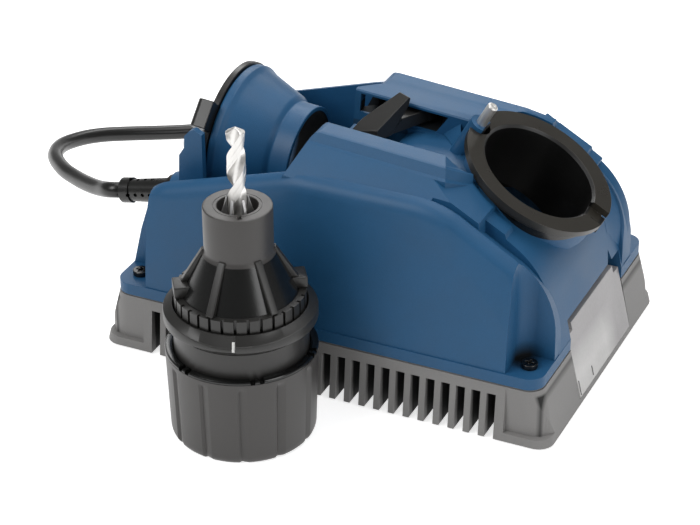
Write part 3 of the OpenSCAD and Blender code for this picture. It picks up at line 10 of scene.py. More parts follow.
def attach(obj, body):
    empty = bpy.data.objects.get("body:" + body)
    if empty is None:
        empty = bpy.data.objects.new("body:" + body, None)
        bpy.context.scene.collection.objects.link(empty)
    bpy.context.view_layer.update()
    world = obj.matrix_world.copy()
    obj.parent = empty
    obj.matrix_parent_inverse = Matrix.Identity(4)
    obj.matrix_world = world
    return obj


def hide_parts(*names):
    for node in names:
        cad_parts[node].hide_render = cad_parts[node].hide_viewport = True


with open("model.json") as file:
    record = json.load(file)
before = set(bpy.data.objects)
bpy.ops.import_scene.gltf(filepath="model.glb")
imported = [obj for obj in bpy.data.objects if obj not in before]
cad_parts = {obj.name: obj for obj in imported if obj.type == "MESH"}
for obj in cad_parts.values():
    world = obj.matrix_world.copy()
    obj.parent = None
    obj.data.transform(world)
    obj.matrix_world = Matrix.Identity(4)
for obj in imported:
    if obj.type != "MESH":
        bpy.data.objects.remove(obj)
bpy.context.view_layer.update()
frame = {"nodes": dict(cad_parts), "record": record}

bl_info = {
    "name": "Drill bit sharpener",
    "version": (1, 0, 0),
    "blender": (4, 5, 0),
    "location": "View3D > Sidebar > Sharpener",
    "description": "Dresses a bench-top drill bit sharpener and its standing chuck",
    "category": "Add Mesh",
}

MM = 0.001

# The machine's middle lies this far behind the origin, and the chuck's upright axis stands here, in mm
BASE_Y = 32.45
CHUCK = np.array((-20.0, -70.05, 0.0))


class SharpenerColours(bpy.types.PropertyGroup):
    """Colours of the finishes, as linear values."""

    housing: bpy.props.FloatVectorProperty(
        name="Housing", description="Blue of the upper housing and tube",
        subtype="COLOR", size=3, default=(0.013, 0.085, 0.195))
    base: bpy.props.FloatVectorProperty(
        name="Base", description="Grey of the vented base",
        subtype="COLOR", size=3, default=(0.235, 0.230, 0.226))
    black: bpy.props.FloatVectorProperty(
        name="Black mouldings", description="Black of the ring, lever and dial",
        subtype="COLOR", size=3, default=(0.012, 0.0118, 0.0112))
    gloss: bpy.props.FloatVectorProperty(
        name="Glossy black", description="Black of the chuck's cone, collar and rim",
        subtype="COLOR", size=3, default=(0.0045, 0.0048, 0.0046))
    knob: bpy.props.FloatVectorProperty(
        name="Chuck knob", description="Dark grey of the knob, neck and nose",
        subtype="COLOR", size=3, default=(0.052, 0.049, 0.047))
    cord: bpy.props.FloatVectorProperty(
        name="Cord", description="Black of the mains cord",
        subtype="COLOR", size=3, default=(0.0085, 0.0085, 0.008))
    floor: bpy.props.FloatVectorProperty(
        name="Floor", description="Pale floor",
        subtype="COLOR", size=3, default=(0.82, 0.82, 0.82))


class SharpenerSizes(bpy.types.PropertyGroup):
    """Sizes that the dressing adds to the frame."""

    edge_housing: bpy.props.FloatProperty(
        name="Housing edge", description="Rounding of the housing's moulded edges",
        subtype="DISTANCE", default=0.0007, min=0.0001, max=0.002)
    edge_small: bpy.props.FloatProperty(
        name="Small edge", description="Rounding of the small mouldings' edges",
        subtype="DISTANCE", default=0.00035, min=0.0001, max=0.001)
    edge_fine: bpy.props.FloatProperty(
        name="Fine edge", description="Rounding of the thinnest parts' edges",
        subtype="DISTANCE", default=0.0002, min=0.00005, max=0.0005)
    edge_hair: bpy.props.FloatProperty(
        name="Hair edge", description="Rounding of the jaws' and the tie's edges",
        subtype="DISTANCE", default=0.0001, min=0.00002, max=0.0003)
    cord_d: bpy.props.FloatProperty(
        name="Cord diameter", description="Diameter of the mains cord",
        subtype="DISTANCE", default=0.0076, min=0.006, max=0.009)
    grain: bpy.props.FloatProperty(
        name="Grain", description="Size of the moulded grain, as cells per metre",
        default=1900.0, min=200.0, max=5000.0)


def sizes():
    return bpy.context.scene.sharpener_sizes


def colours():
    return bpy.context.scene.sharpener_colours


def made_once(make):
    """Shader group's maker that runs on its first call, and gives the same group after."""
    def group():
        return bpy.data.node_groups.get(make.__name__) or make()
    return group


def new_group(name, inputs, outputs):
    """Empty shader group with float inputs (name, default) and float outputs."""
    tree = bpy.data.node_groups.new(name, "ShaderNodeTree")
    for label, value in inputs:
        socket = tree.interface.new_socket(label, in_out="INPUT", socket_type="NodeSocketFloat")
        socket.default_value = value
    for label in outputs:
        tree.interface.new_socket(label, in_out="OUTPUT", socket_type="NodeSocketFloat")
    return tree, tree.nodes.new("NodeGroupInput"), tree.nodes.new("NodeGroupOutput")


def math_node(tree, operation, a, b):
    """Math node of two values, each a socket or a number; returns its output."""
    node = tree.nodes.new("ShaderNodeMath")
    node.operation = operation
    for socket, value in zip(node.inputs, (a, b)):
        if isinstance(value, (int, float)):
            socket.default_value = value
        else:
            tree.links.new(value, socket)
    return node.outputs[0]


def noise_node(tree, vector, scale, detail, rough):
    """Noise over the given coordinates; scale is a socket or a number."""
    node = tree.nodes.new("ShaderNodeTexNoise")
    node.inputs["Detail"].default_value = detail
    node.inputs["Roughness"].default_value = rough
    tree.links.new(vector, node.inputs["Vector"])
    if isinstance(scale, (int, float)):
        node.inputs["Scale"].default_value = scale
    else:
        tree.links.new(scale, node.inputs["Scale"])
    return node.outputs["Fac"]


def texture_outputs(tree, got, out, height, tone_swing, gloss_swing):
    """Links a texture's height, its tone about 1 and its gloss about the given roughness."""
    tree.links.new(height, out.inputs["Height"])
    for label, swing, reach, about in (("Tone", tone_swing, "Tone Range", 1.0),
                                       ("Gloss", gloss_swing, "Rough Range", got.outputs["Rough"])):
        share = math_node(tree, "MULTIPLY", swing, got.outputs[reach])
        tree.links.new(math_node(tree, "ADD", share, about), out.inputs[label])


# How much the fine grain adds to the cloudy tone
SPECK_SHARE = 0.9


@made_once
def moulded_grain():
    """Fine moulded texture: grain for the bump, a cloudy tone for the colour, a cloudy gloss."""
    tree, got, out = new_group(
        "moulded_grain",
        [("Grain", 1900.0), ("Cloud", 45.0), ("Tone Range", 0.16), ("Rough", 0.5), ("Rough Range", 0.16)],
        ["Height", "Tone", "Gloss"])
    where = tree.nodes.new("ShaderNodeTexCoord").outputs["Object"]
    fine = noise_node(tree, where, got.outputs["Grain"], 3.0, 0.6)
    cloud = noise_node(tree, where, got.outputs["Cloud"], 4.0, 0.55)
    swing = math_node(tree, "SUBTRACT", cloud, 0.5)
    speck = math_node(tree, "MULTIPLY", math_node(tree, "SUBTRACT", fine, 0.5), SPECK_SHARE)
    texture_outputs(tree, got, out, fine, math_node(tree, "ADD", swing, speck), swing)
    return tree


@made_once
def ground_lines():
    """Ground or turned metal: fine lines across one axis, for bump, tone and gloss."""
    tree, got, out = new_group(
        "ground_lines",
        [("Across", 2600.0), ("Along", 90.0), ("Tone Range", 0.2), ("Rough", 0.25), ("Rough Range", 0.2)],
        ["Height", "Tone", "Gloss"])
    where = tree.nodes.new("ShaderNodeTexCoord").outputs["Object"]
    stretch = tree.nodes.new("ShaderNodeVectorMath")
    stretch.operation = "MULTIPLY"
    tree.links.new(where, stretch.inputs[0])
    spread = tree.nodes.new("ShaderNodeCombineXYZ")
    for label, axis in (("Along", "X"), ("Along", "Y"), ("Across", "Z")):
        tree.links.new(got.outputs[label], spread.inputs[axis])
    tree.links.new(spread.outputs[0], stretch.inputs[1])
    lines = noise_node(tree, stretch.outputs[0], 1.0, 2.0, 0.6)
    swing = math_node(tree, "SUBTRACT", lines, 0.5)
    texture_outputs(tree, got, out, lines, swing, swing)
    return tree


@made_once
def box_mask():
    """Mask of a box, given by its middle and half sizes: 1 inside, falling to 0 at its faces."""
    tree, got, out = new_group(
        "box_mask",
        [(label, 0.0) for label in "XYZ"] + [("Half " + label, 1.0) for label in "XYZ"] + [("Soft", 0.001)],
        ["Mask"])
    split = tree.nodes.new("ShaderNodeSeparateXYZ")
    tree.links.new(tree.nodes.new("ShaderNodeTexCoord").outputs["Object"], split.inputs[0])
    mask = None
    for axis in "XYZ":
        away = math_node(
            tree, "ABSOLUTE", math_node(tree, "SUBTRACT", split.outputs[axis], got.outputs[axis]), 0.0)
        depth = math_node(tree, "SUBTRACT", got.outputs["Half " + axis], away)
        inside = math_node(tree, "DIVIDE", depth, got.outputs["Soft"])
        inside.node.use_clamp = True
        mask = inside if mask is None else math_node(tree, "MULTIPLY", mask, inside)
    tree.links.new(mask, out.inputs["Mask"])
    return tree


@made_once
def tube_mask():
    """Mask of an endless tube, given by a point and a direction of its axis: 1 near the axis, falling
    to 0 at its reach."""
    tree, got, out = new_group(
        "tube_mask",
        [(label, 0.0) for label in "XYZ"] + [("Along " + label, 0.0) for label in "XYZ"]
        + [("Reach", 1.0), ("Soft", 0.001)],
        ["Mask"])

    def joined(prefix):
        node = tree.nodes.new("ShaderNodeCombineXYZ")
        for axis in "XYZ":
            tree.links.new(got.outputs[prefix + axis], node.inputs[axis])
        return node.outputs[0]

    def vector_node(operation, a, b):
        node = tree.nodes.new("ShaderNodeVectorMath")
        node.operation = operation
        tree.links.new(a, node.inputs[0])
        if b is not None:
            tree.links.new(b, node.inputs["Scale" if operation == "SCALE" else 1])
        return node.outputs["Value" if operation in ("DOT_PRODUCT", "LENGTH") else 0]

    along = joined("Along ")
    away = vector_node("SUBTRACT", tree.nodes.new("ShaderNodeTexCoord").outputs["Object"], joined(""))
    on_axis = vector_node("SCALE", along, vector_node("DOT_PRODUCT", away, along))
    reach = vector_node("LENGTH", vector_node("SUBTRACT", away, on_axis), None)
    depth = math_node(tree, "SUBTRACT", got.outputs["Reach"], reach)
    inside = math_node(tree, "DIVIDE", depth, got.outputs["Soft"])
    inside.node.use_clamp = True
    tree.links.new(inside, out.inputs["Mask"])
    return tree


def box(low, high, soft):
    """Box mask and its values, from two corners and a softness in millimetres."""
    values = {"Soft": soft * MM}
    for axis, a, b in zip("XYZ", low, high):
        values[axis] = (a + b) / 2 * MM
        values["Half " + axis] = (b - a) / 2 * MM
    return box_mask, values


def tube(at, along, reach, soft):
    """Tube mask and its values, from a point, a unit direction, a reach and a softness in millimetres."""
    values = {"Reach": reach * MM, "Soft": soft * MM}
    for axis, a, b in zip("XYZ", at, along):
        values[axis] = float(a) * MM
        values["Along " + axis] = float(b)
    return tube_mask, values


def mixed(tree, kind, mask, first, second):
    """Mix of two sockets or values by a mask; kind is RGBA or FLOAT."""
    node = tree.nodes.new("ShaderNodeMix")
    node.data_type = kind
    factor, *ends = [socket for socket in node.inputs if socket.enabled]
    tree.links.new(mask, factor)
    for socket, value in zip(ends, (first, second)):
        if isinstance(value, bpy.types.NodeSocket):
            tree.links.new(value, socket)
        else:
            socket.default_value = value
    return next(socket for socket in node.outputs if socket.enabled)


def group_node(tree, group, values):
    """Node of a shader group with the given input values."""
    node = tree.nodes.new("ShaderNodeGroup")
    node.node_tree = group()
    for label, value in values.items():
        node.inputs[label].default_value = value
    return node


def scaled_colour(tree, colour, scale):
    """Colour times a socket's value."""
    node = tree.nodes.new("ShaderNodeVectorMath")
    node.operation = "SCALE"
    node.inputs[0].default_value = colour
    tree.links.new(scale, node.inputs["Scale"])
    return node.outputs[0]


def finish(name, colour, group, values, depth, metallic=0.0, spec=0.5, alpha=1.0, patches=()):
    """Principled finish: colour scaled by the group's tone, its gloss and a bump from its height.
    Each patch gives a mask and its values, and the colour and gloss inside it."""
    if name in bpy.data.materials:
        return bpy.data.materials[name]
    made = bpy.data.materials.new(name)
    made.use_nodes = True
    tree = made.node_tree
    shader = tree.nodes["Principled BSDF"]
    texture = group_node(tree, group, values)
    tone, gloss = texture.outputs["Tone"], texture.outputs["Gloss"]
    shown = scaled_colour(tree, colour, tone)
    for (mask, numbers), patch_colour, patch_gloss in patches:
        inside = group_node(tree, mask, numbers).outputs["Mask"]
        shown = mixed(tree, "RGBA", inside, shown, scaled_colour(tree, patch_colour, tone))
        gloss = mixed(tree, "FLOAT", inside, gloss, patch_gloss)
    tree.links.new(shown, shader.inputs["Base Color"])
    tree.links.new(gloss, shader.inputs["Roughness"])
    bump = tree.nodes.new("ShaderNodeBump")
    bump.inputs["Strength"].default_value = 1.0
    bump.inputs["Distance"].default_value = depth
    tree.links.new(texture.outputs["Height"], bump.inputs["Height"])
    tree.links.new(bump.outputs["Normal"], shader.inputs["Normal"])
    shader.inputs["Metallic"].default_value = metallic
    shader.inputs["Specular IOR Level"].default_value = spec
    shader.inputs["Alpha"].default_value = alpha
    made.diffuse_color = (*colour, alpha)
    return made


def plastic(name, colour, rough, depth, grain=None, tone=0.16, **more):
    """Moulded plastic of one colour with the shared grain."""
    values = {"Grain": grain or sizes().grain, "Rough": rough, "Tone Range": tone}
    return finish(name, tuple(colour), moulded_grain, values, depth, **more)


def metal(name, colour, rough, depth, across=2600.0):
    """Ground metal of one colour with the shared lines."""
    values = {"Across": across, "Rough": rough}
    return finish(name, colour, ground_lines, values, depth, metallic=1.0)


def sloped(fall):
    """Direction to the right that falls by an angle in degrees."""
    return np.array((math.cos(math.radians(fall)), 0.0, -math.sin(math.radians(fall))))


BACKWARD = (0.0, 1.0, 0.0)
UPWARD = (0.0, 0.0, 1.0)

# The port: its face's middle, the way down the face, the way out of the bore, and the bore's radius
PORT_AT = np.array((74.5, BASE_Y, 95.0))
PORT_DOWN = sloped(29.2)
PORT_OUT = np.array((-PORT_DOWN[2], 0.0, PORT_DOWN[0]))
PORT_R = 26.45

# The alignment tube: a point and the direction of its axis, and how far the painted shade inside it reaches
TUBE_AT = (-72.0, BASE_Y, 79.8)
TUBE_ALONG = sloped(4.7)
TUBE_REACH = 22.4

# Where a moulding is darker, lighter or glossier than elsewhere. The chuck's cone and neck are its own
# finishes; the rest are painted shade, painted shadow and painted light, as marked below
# Painted shade inside the lever's slot
LEVER_POCKET_SHADE = box((-18.0, BASE_Y + 10.6, 95.0), (30.0, BASE_Y + 29.0, 105.4), 0.8)
# Painted shade inside the vented base and down its vents
BASE_INSIDE_SHADE = box((-104.0, BASE_Y - 66.9, -2.0), (104.0, BASE_Y + 66.9, 25.0), 1.2)
# Painted shadow at the foot of the front screw pocket
SCREW_NOOK_SHADOW = box((66.0, BASE_Y - 62.0, 20.0), (98.0, BASE_Y - 40.0, 41.0), 7.0)
CHUCK_CONE = box((-70.0, -120.0, 56.0), (30.0, -20.0, 86.9), 0.5)
CHUCK_NECK = box((-70.0, -120.0, 10.0), (30.0, -20.0, 55.5), 0.5)
# Painted light: the tray lighter low down and towards its front
TRAY_LOW_LIGHT = box((60.0, BASE_Y - 60.0, -30.0), (140.0, BASE_Y + 22.0, 27.0), 14.0)
# Painted shade in the well beside the tube's mouth
TUBE_WELL_SHADE = box((-21.0, BASE_Y - 31.3, 60.0), (8.3, BASE_Y + 10.3, 96.4), 0.6)
# Painted shade down the tube's bore
TUBE_BORE_SHADE = tube(TUBE_AT, TUBE_ALONG, TUBE_REACH, 0.5)
# Painted shade in the port ring's bore
PORT_BORE_SHADE = tube(PORT_AT, PORT_OUT, PORT_R + 1.3, 0.5)
# Painted shade deep in the housing round the port
PORT_DEEP_SHADE = tube(PORT_AT, PORT_OUT, PORT_R + 4.0, 0.5)


def finish_of(slot):
    """Finish for each of the record's material slots, and for the pieces that differ from their slot.
    The rows give a material's name, colour, roughness and bump depth, and then what is special to it;
    a patch gives a mask, and the colour and roughness inside it."""
    paint = colours()
    # Painted shade and painted shadow on the housing, in its slot, port, screw pocket and tube well
    shade = [(LEVER_POCKET_SHADE, (0.003, 0.006, 0.009), 0.8), (PORT_DEEP_SHADE, (0.0006, 0.0008, 0.001), 0.7),
             (SCREW_NOOK_SHADOW, (0.0008, 0.003, 0.005), 0.7), (TUBE_WELL_SHADE, (0.0015, 0.003, 0.004), 0.8)]
    # Painted shade inside the tube's mouth
    mouth = [(TUBE_BORE_SHADE, (0.0008, 0.001, 0.0012), 0.8)]
    # Painted shade inside the base
    inner_shade = [(BASE_INSIDE_SHADE, (0.010, 0.010, 0.010), 0.8)]
    cone = [(CHUCK_CONE, tuple(paint.gloss), 0.24), (CHUCK_NECK, (0.026, 0.025, 0.024), 0.4)]
    # Painted shade in the ring's bore
    bore = [(PORT_BORE_SHADE, (0.0005, 0.0005, 0.0005), 0.45)]
    # Painted light on the tray's lower front
    tray_light = [(TRAY_LOW_LIGHT, (0.84, 0.83, 0.82), 0.2)]
    plastics = {
        "blue_plastic": ("blue_moulding", paint.housing, 0.48, 7e-5,
                         {"spec": 0.4, "tone": 0.30, "patches": shade}),
        "tube_blue": ("tube_moulding", paint.housing, 0.44, 7e-5,
                      {"spec": 0.4, "tone": 0.30, "patches": mouth}),
        "grey_plastic": ("grey_moulding", paint.base, 0.55, 6e-5, {"patches": inner_shade}),
        "black_plastic": ("black_moulding", paint.black, 0.34, 2e-5, {}),
        "gloss_black": ("glossy_black_moulding", paint.gloss, 0.20, 1e-5, {}),
        "satin_black": ("satin_black_moulding", (0.019, 0.0185, 0.0175), 0.38, 2e-5, {}),
        "ring_black": ("port_ring_moulding", (0.024, 0.0215, 0.017), 0.30, 2e-5, {"patches": bore}),
        "knob_plastic": ("knob_moulding", paint.knob, 0.42, 2e-5, {}),
        "nose_plastic": ("nose_moulding", paint.knob, 0.40, 2e-5, {"patches": cone}),
        "mark_paint": ("mark_paint", (0.80, 0.80, 0.78), 0.5, 1e-5, {}),
        "clear_plastic": ("clear_moulding", (0.50, 0.485, 0.49), 0.16, 1e-5,
                          {"grain": 700.0, "alpha": 0.7, "patches": tray_light}),
        "tray_edge": ("clear_moulding_edge", (0.20, 0.20, 0.20), 0.2, 1e-5, {"alpha": 0.75}),
        "foot_rubber": ("foot_rubber", (0.015, 0.015, 0.015), 0.8, 8e-5, {}),
        "cord_rubber": ("cord_jacket", paint.cord, 0.30, 1e-5, {}),
        "wheel_grit": ("diamond_grit", (0.42, 0.39, 0.33), 0.7, 2e-4, {"grain": 2600.0}),
    }
    metals = {
        "bright_steel": ("bright_steel", (0.72, 0.70, 0.67), 0.24, 1e-5, {}),
        "jaw_steel": ("jaw_steel", (0.66, 0.65, 0.63), 0.26, 1e-5, {}),
        "dark_steel": ("black_oxide_steel", (0.05, 0.05, 0.05), 0.30, 1e-5, {}),
        "can_steel": ("plated_can_steel", (0.50, 0.50, 0.49), 0.32, 1e-5, {"across": 700.0}),
        "core_iron": ("laminated_iron", (0.30, 0.25, 0.21), 0.5, 1e-5, {"across": 1600.0}),
        "plug_brass": ("plug_brass", (0.78, 0.62, 0.33), 0.25, 1e-5, {}),
    }
    make, rows = (plastic, plastics) if slot in plastics else (metal, metals)
    *plain, special = rows[slot]
    return make(*plain, **special)


SLOT_OF = {row["node"]: row["material_slot"] for row in frame["record"]["subparts"]}
BODY_OF = {node: body for body, nodes in frame["record"]["behaviour"]["bodies"].items() for node in nodes}


def dress(obj, slot):
    """Gives a piece the finish of a slot, on every face."""
    obj.data.materials.clear()
    obj.data.materials.append(finish_of(slot))


def put(name, mesh, body, slot, replaced=()):
    """Links a finished mesh as a piece on a body, for the nodes it stands for; the slot is not used."""
    piece = bpy.data.objects.new(name, mesh)
    bpy.context.scene.collection.objects.link(piece)
    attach(piece, body)
    if replaced:
        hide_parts(*replaced)
    return piece


# Points nearer than this are one, flatter folds than this are one face, and sharper ones are rounded
MERGE_GAP = 2e-6
FLAT_FOLD = math.radians(0.4)
ROUND_FOLD = math.radians(28.0)
# Folds of a made surface sharper than this stay as edges
SHARP_FOLD = math.radians(35)


def moulded_copy(node, name, width, look=None):
    """Copy of a frame node with its triangles merged into faces and its edges rounded; look names
    its finish where that isn't the node's own slot's."""
    mesh = frame["nodes"][node].data.copy()
    mesh.name = name
    shape = bmesh.new()
    shape.from_mesh(mesh)
    bmesh.ops.remove_doubles(shape, verts=shape.verts, dist=MERGE_GAP)
    bmesh.ops.dissolve_degenerate(shape, dist=MERGE_GAP, edges=shape.edges)
    bmesh.ops.dissolve_limit(shape, angle_limit=FLAT_FOLD, verts=shape.verts, edges=shape.edges)
    shape.to_mesh(mesh)
    shape.free()
    for layer in list(mesh.attributes):
        if layer.name == "custom_normal":
            mesh.attributes.remove(layer)
    mesh.shade_smooth()
    mesh.set_sharp_from_angle(angle=ROUND_FOLD)
    piece = put(name, mesh, BODY_OF[node], SLOT_OF[node], [node])
    dress(piece, look or SLOT_OF[node])
    rounding = piece.modifiers.new("rounding", "BEVEL")
    rounding.width = width
    rounding.segments = 2
    rounding.limit_method = "ANGLE"
    rounding.angle_limit = ROUND_FOLD
    rounding.use_clamp_overlap = True
    flattened = piece.modifiers.new("flattened", "WEIGHTED_NORMAL")
    flattened.weight = 80
    flattened.keep_sharp = True
    return piece


def grid_mesh(name, points, wrap_u=False, wrap_v=False, cap_start=False, cap_end=False):
    """Mesh of a surface given as a grid of points [v, u, xyz] in millimetres: quads between
    neighbours, joined round where a direction wraps, with flat ends where asked."""
    rows, cols = points.shape[:2]
    v = np.arange(rows if wrap_v else rows - 1)
    u = np.arange(cols if wrap_u else cols - 1)
    vv, uu = np.meshgrid(v, u, indexing="ij")
    v1, u1 = (vv + 1) % rows, (uu + 1) % cols
    quads = np.stack((vv * cols + uu, vv * cols + u1, v1 * cols + u1, v1 * cols + uu), -1).reshape(-1, 4)
    faces = quads.tolist()
    if cap_start:
        faces.append(list(range(cols))[::-1])
    if cap_end:
        faces.append([(rows - 1) * cols + k for k in range(cols)])
    mesh = bpy.data.meshes.new(name)
    mesh.from_pydata((points.reshape(-1, 3) * MM).tolist(), [], faces)
    mesh.update()
    shape = bmesh.new()
    shape.from_mesh(mesh)
    bmesh.ops.remove_doubles(shape, verts=shape.verts, dist=1e-7)
    bmesh.ops.recalc_face_normals(shape, faces=shape.faces)
    shape.to_mesh(mesh)
    shape.free()
    mesh.shade_smooth()
    return mesh


def round_turn(steps):
    """Angles once round, without the repeat of the first."""
    return np.linspace(0, 2 * math.pi, steps, endpoint=False)


def swept(path, radius, sides):
    """Round profile carried along a path: at each point a circle square to the path, in the frame
    made by the path's heading and the upward direction."""
    heading = np.gradient(path, axis=0)
    heading /= np.linalg.norm(heading, axis=1)[:, None]
    aside = np.cross(heading, UPWARD)
    aside /= np.linalg.norm(aside, axis=1)[:, None]
    lift = np.cross(aside, heading)
    turn = round_turn(sides)[None, :, None]
    return path[:, None, :] + radius * (np.cos(turn) * aside[:, None, :] + np.sin(turn) * lift[:, None, :])


def box_pieces(name, places, body, slot, look):
    """One piece of several rounded boxes, each given as a grid of points."""
    whole = bmesh.new()
    for points in places:
        part = grid_mesh(name, points, wrap_u=True, cap_start=True, cap_end=True)
        whole.from_mesh(part)
        bpy.data.meshes.remove(part)
    mesh = bpy.data.meshes.new(name)
    whole.to_mesh(mesh)
    whole.free()
    mesh.shade_smooth()
    mesh.set_sharp_from_angle(angle=SHARP_FOLD)
    dress(put(name, mesh, body, slot), look)


def eased(x, low, high):
    """Smooth step from 0 at low to 1 at high."""
    t = np.clip((x - low) / (high - low), 0, 1)
    return t * t * (3 - 2 * t)


def turned(radius, height, angles):
    """Points turned about the chuck's axis, from a radius and a height for each profile point and angle."""
    radius, height, angles = np.broadcast_arrays(radius, height, angles)
    return np.stack((CHUCK[0] + radius * np.cos(angles), CHUCK[1] + radius * np.sin(angles), height), -1)


def turned_rows(rows, angles):
    """Turned surface of a profile whose points are (radius, height), each a number or one per angle."""
    size = angles.shape
    radius = np.stack([np.broadcast_to(r, size) for r, _ in rows])
    height = np.stack([np.broadcast_to(z, size) for _, z in rows])
    return turned(radius, height, angles)


def rounded_box(half, round_r):
    """Box with rounded edges, about its middle: a ball of the edge's radius, pulled apart along each axis
    by the sign of that axis, so the rounds open into flat faces."""
    half = np.asarray(half, float)
    quarter = np.array((0.1, 22, 45, 67, 89.9))
    up = np.radians(np.concatenate((-quarter[::-1], quarter)))[:, None]
    around = np.radians(np.concatenate([quarter + 90 * k for k in range(4)]))[None, :]
    ball = np.stack((np.cos(up) * np.cos(around), np.cos(up) * np.sin(around),
                     np.sin(up) * np.ones_like(around)), -1)
    return np.sign(ball) * (half - round_r) + round_r * ball


def placed(points, at, first, second, third):
    """Points carried from their own axes to a place, along three given directions."""
    axes = np.stack([np.asarray(axis, float) for axis in (first, second, third)])
    return np.asarray(at, float) + points @ axes


def rail_surface():
    """Rounded box beside the port ring, along the slope of the ring's face, falling a little to its end."""
    half_len, half_wide, half_tall, fall = 16.2, 4.2, 7.0, 0.05
    points = rounded_box((half_len, half_wide, half_tall), 0.8)
    points[..., 2] -= fall * (points[..., 0] + half_len) * (points[..., 2] > 0)
    at = PORT_AT + 2.0 * PORT_DOWN - 9.2 * PORT_OUT + (0, 40.2, 0)
    return placed(points, at, PORT_DOWN, BACKWARD, PORT_OUT)


def fillet_surface():
    """Curved fill behind the port between the end's two arches: an arc whose middle and radius slide,
    from front to back, from the inner arch's to the outer's, with a skin of even thickness. The arc
    stops higher above the tray than behind it."""
    front, wide, tray_side = 27.0, 18.8, 37.2
    middle_z, proud, thick, arc_top = 50.0, 0.12, 3.0, 58.0
    across = np.linspace(0, 1, 40)
    across = np.concatenate((across, across[::-1]))[None, :]
    share = eased(across, 0, 1)
    middle_x = 60.8 + 3.2 * share
    skin = 37.0 + 1.05 * share + np.repeat((proud, -thick), 40)
    side = front + wide * across
    low = np.where(side < tray_side, -17.5, -26.0)
    arc = np.radians(low + (arc_top - low) * np.linspace(0, 1, 60)[:, None])
    return np.stack((middle_x + skin * np.cos(arc), BASE_Y + side + 0 * arc,
                     middle_z + skin * np.sin(arc)), -1)


def slot_surface():
    """Floor of the port ring's key slot, as a flat rounded box."""
    points = rounded_box((4.1, 5.4, 0.9), 0.2)
    return placed(points, PORT_AT + 31.2 * PORT_DOWN - 4.3 * PORT_OUT, PORT_DOWN, BACKWARD, PORT_OUT)


# The tray's leaning front, from its foot to its head, as x and z
TRAY_FOOT, TRAY_HEAD = np.array((108.1, 3.6)), np.array((99.86, 37.0))
TRAY_RISE = (TRAY_HEAD - TRAY_FOOT) / np.linalg.norm(TRAY_HEAD - TRAY_FOOT)


def tray_lines():
    """Moulded lines of the tray, as thin rounded boxes: two up its leaning front, each placed across the
    front and up it, then a low divider along its floor and the post at the divider's end."""
    for across, up, half_up in ((-28.0, 4.4, 3.6), (-12.0, 4.2, 2.4)):
        foot = TRAY_FOOT + up * TRAY_RISE
        yield placed(rounded_box((0.22, half_up, 0.3), 0.15), (foot[0] + 0.05, BASE_Y + across, foot[1]),
                     BACKWARD, (TRAY_RISE[0], 0, TRAY_RISE[1]), (TRAY_RISE[1], 0, -TRAY_RISE[0]))
    divider_y = BASE_Y + 2.4
    yield rounded_box((17.5, 0.6, 0.9), 0.3) + (87.5, divider_y, 6.2)
    yield rounded_box((0.7, 0.7, 2.4), 0.3) + (105.0, divider_y, 7.7)


def gasket_surface():
    """Painted shadow under the port ring's rim: a black strip on a round wall that narrows to nothing at
    its ends.
    """
    first, last, under_face = -100, -22, 5.45
    turn = np.linspace(first, last, 60)
    tall = 0.2 + 3.4 * np.sin(np.radians(180 * (turn - first) / (last - first)))
    turn = np.radians(turn)[:, None]
    reach = np.array((33.2, 33.2, 32.0, 32.0))[None, :]
    level = np.stack((0 * tall, -tall, -tall, 0 * tall), 1) - under_face
    points = np.stack((reach * np.cos(turn), reach * np.sin(turn), level), -1)
    return placed(points, PORT_AT, PORT_DOWN, BACKWARD, PORT_OUT)


# The line along the tops of the cone's ribs, as radius and height; angles are in degrees
CONE_FOOT, CONE_HEAD = np.array((27.5, 69.2)), np.array((15.3, 88.8))
RIB_TURN, RIBS, RIB_HALF_DEEP, RIB_HALF_WIDE = -91.0, 6, 1.6, 1.7
TAB_TURN, TAB_REACH, TAB_Z = 34.0, 23.4, 71.2
NOTCH_TURN, NOTCH_HALF, NOTCH_DEEP = -59.0, 4.3, 2.5


def rib_surfaces():
    """Ribs down the chuck's cone: a long rounded box laid on the line from the cone's foot to its head,
    turned about the axis."""
    line = CONE_HEAD - CONE_FOOT
    size = np.linalg.norm(line)
    line = line / size
    out = np.array((line[1], -line[0]))
    middle = (CONE_HEAD + CONE_FOOT) / 2 - RIB_HALF_DEEP * out
    points = rounded_box((size / 2, RIB_HALF_WIDE, RIB_HALF_DEEP), 0.45)
    for k in range(RIBS):
        turn = math.radians(RIB_TURN + 360 / RIBS * k)
        ahead = np.array((math.cos(turn), math.sin(turn)))
        side = (-ahead[1], ahead[0], 0.0)
        yield placed(points, CHUCK + (*(middle[0] * ahead), middle[1]), (*(line[0] * ahead), line[1]), side,
                     (*(out[0] * ahead), out[1]))


def tab_surfaces():
    """Two opposite lugs on the toothed ring, as rounded boxes."""
    points = rounded_box((4.8, 5.0, 2.5), 0.6)
    for turn in (math.radians(TAB_TURN), math.radians(TAB_TURN + 180)):
        ahead = np.array((math.cos(turn), math.sin(turn), 0.0))
        at = CHUCK + TAB_REACH * ahead + (0, 0, TAB_Z)
        yield placed(points, at, ahead, (-ahead[1], ahead[0], 0.0), UPWARD)


def turn_from(start, angles):
    """Angles measured from a start in degrees, between -180 and 180."""
    return (np.degrees(angles) - start + 180) % 360 - 180


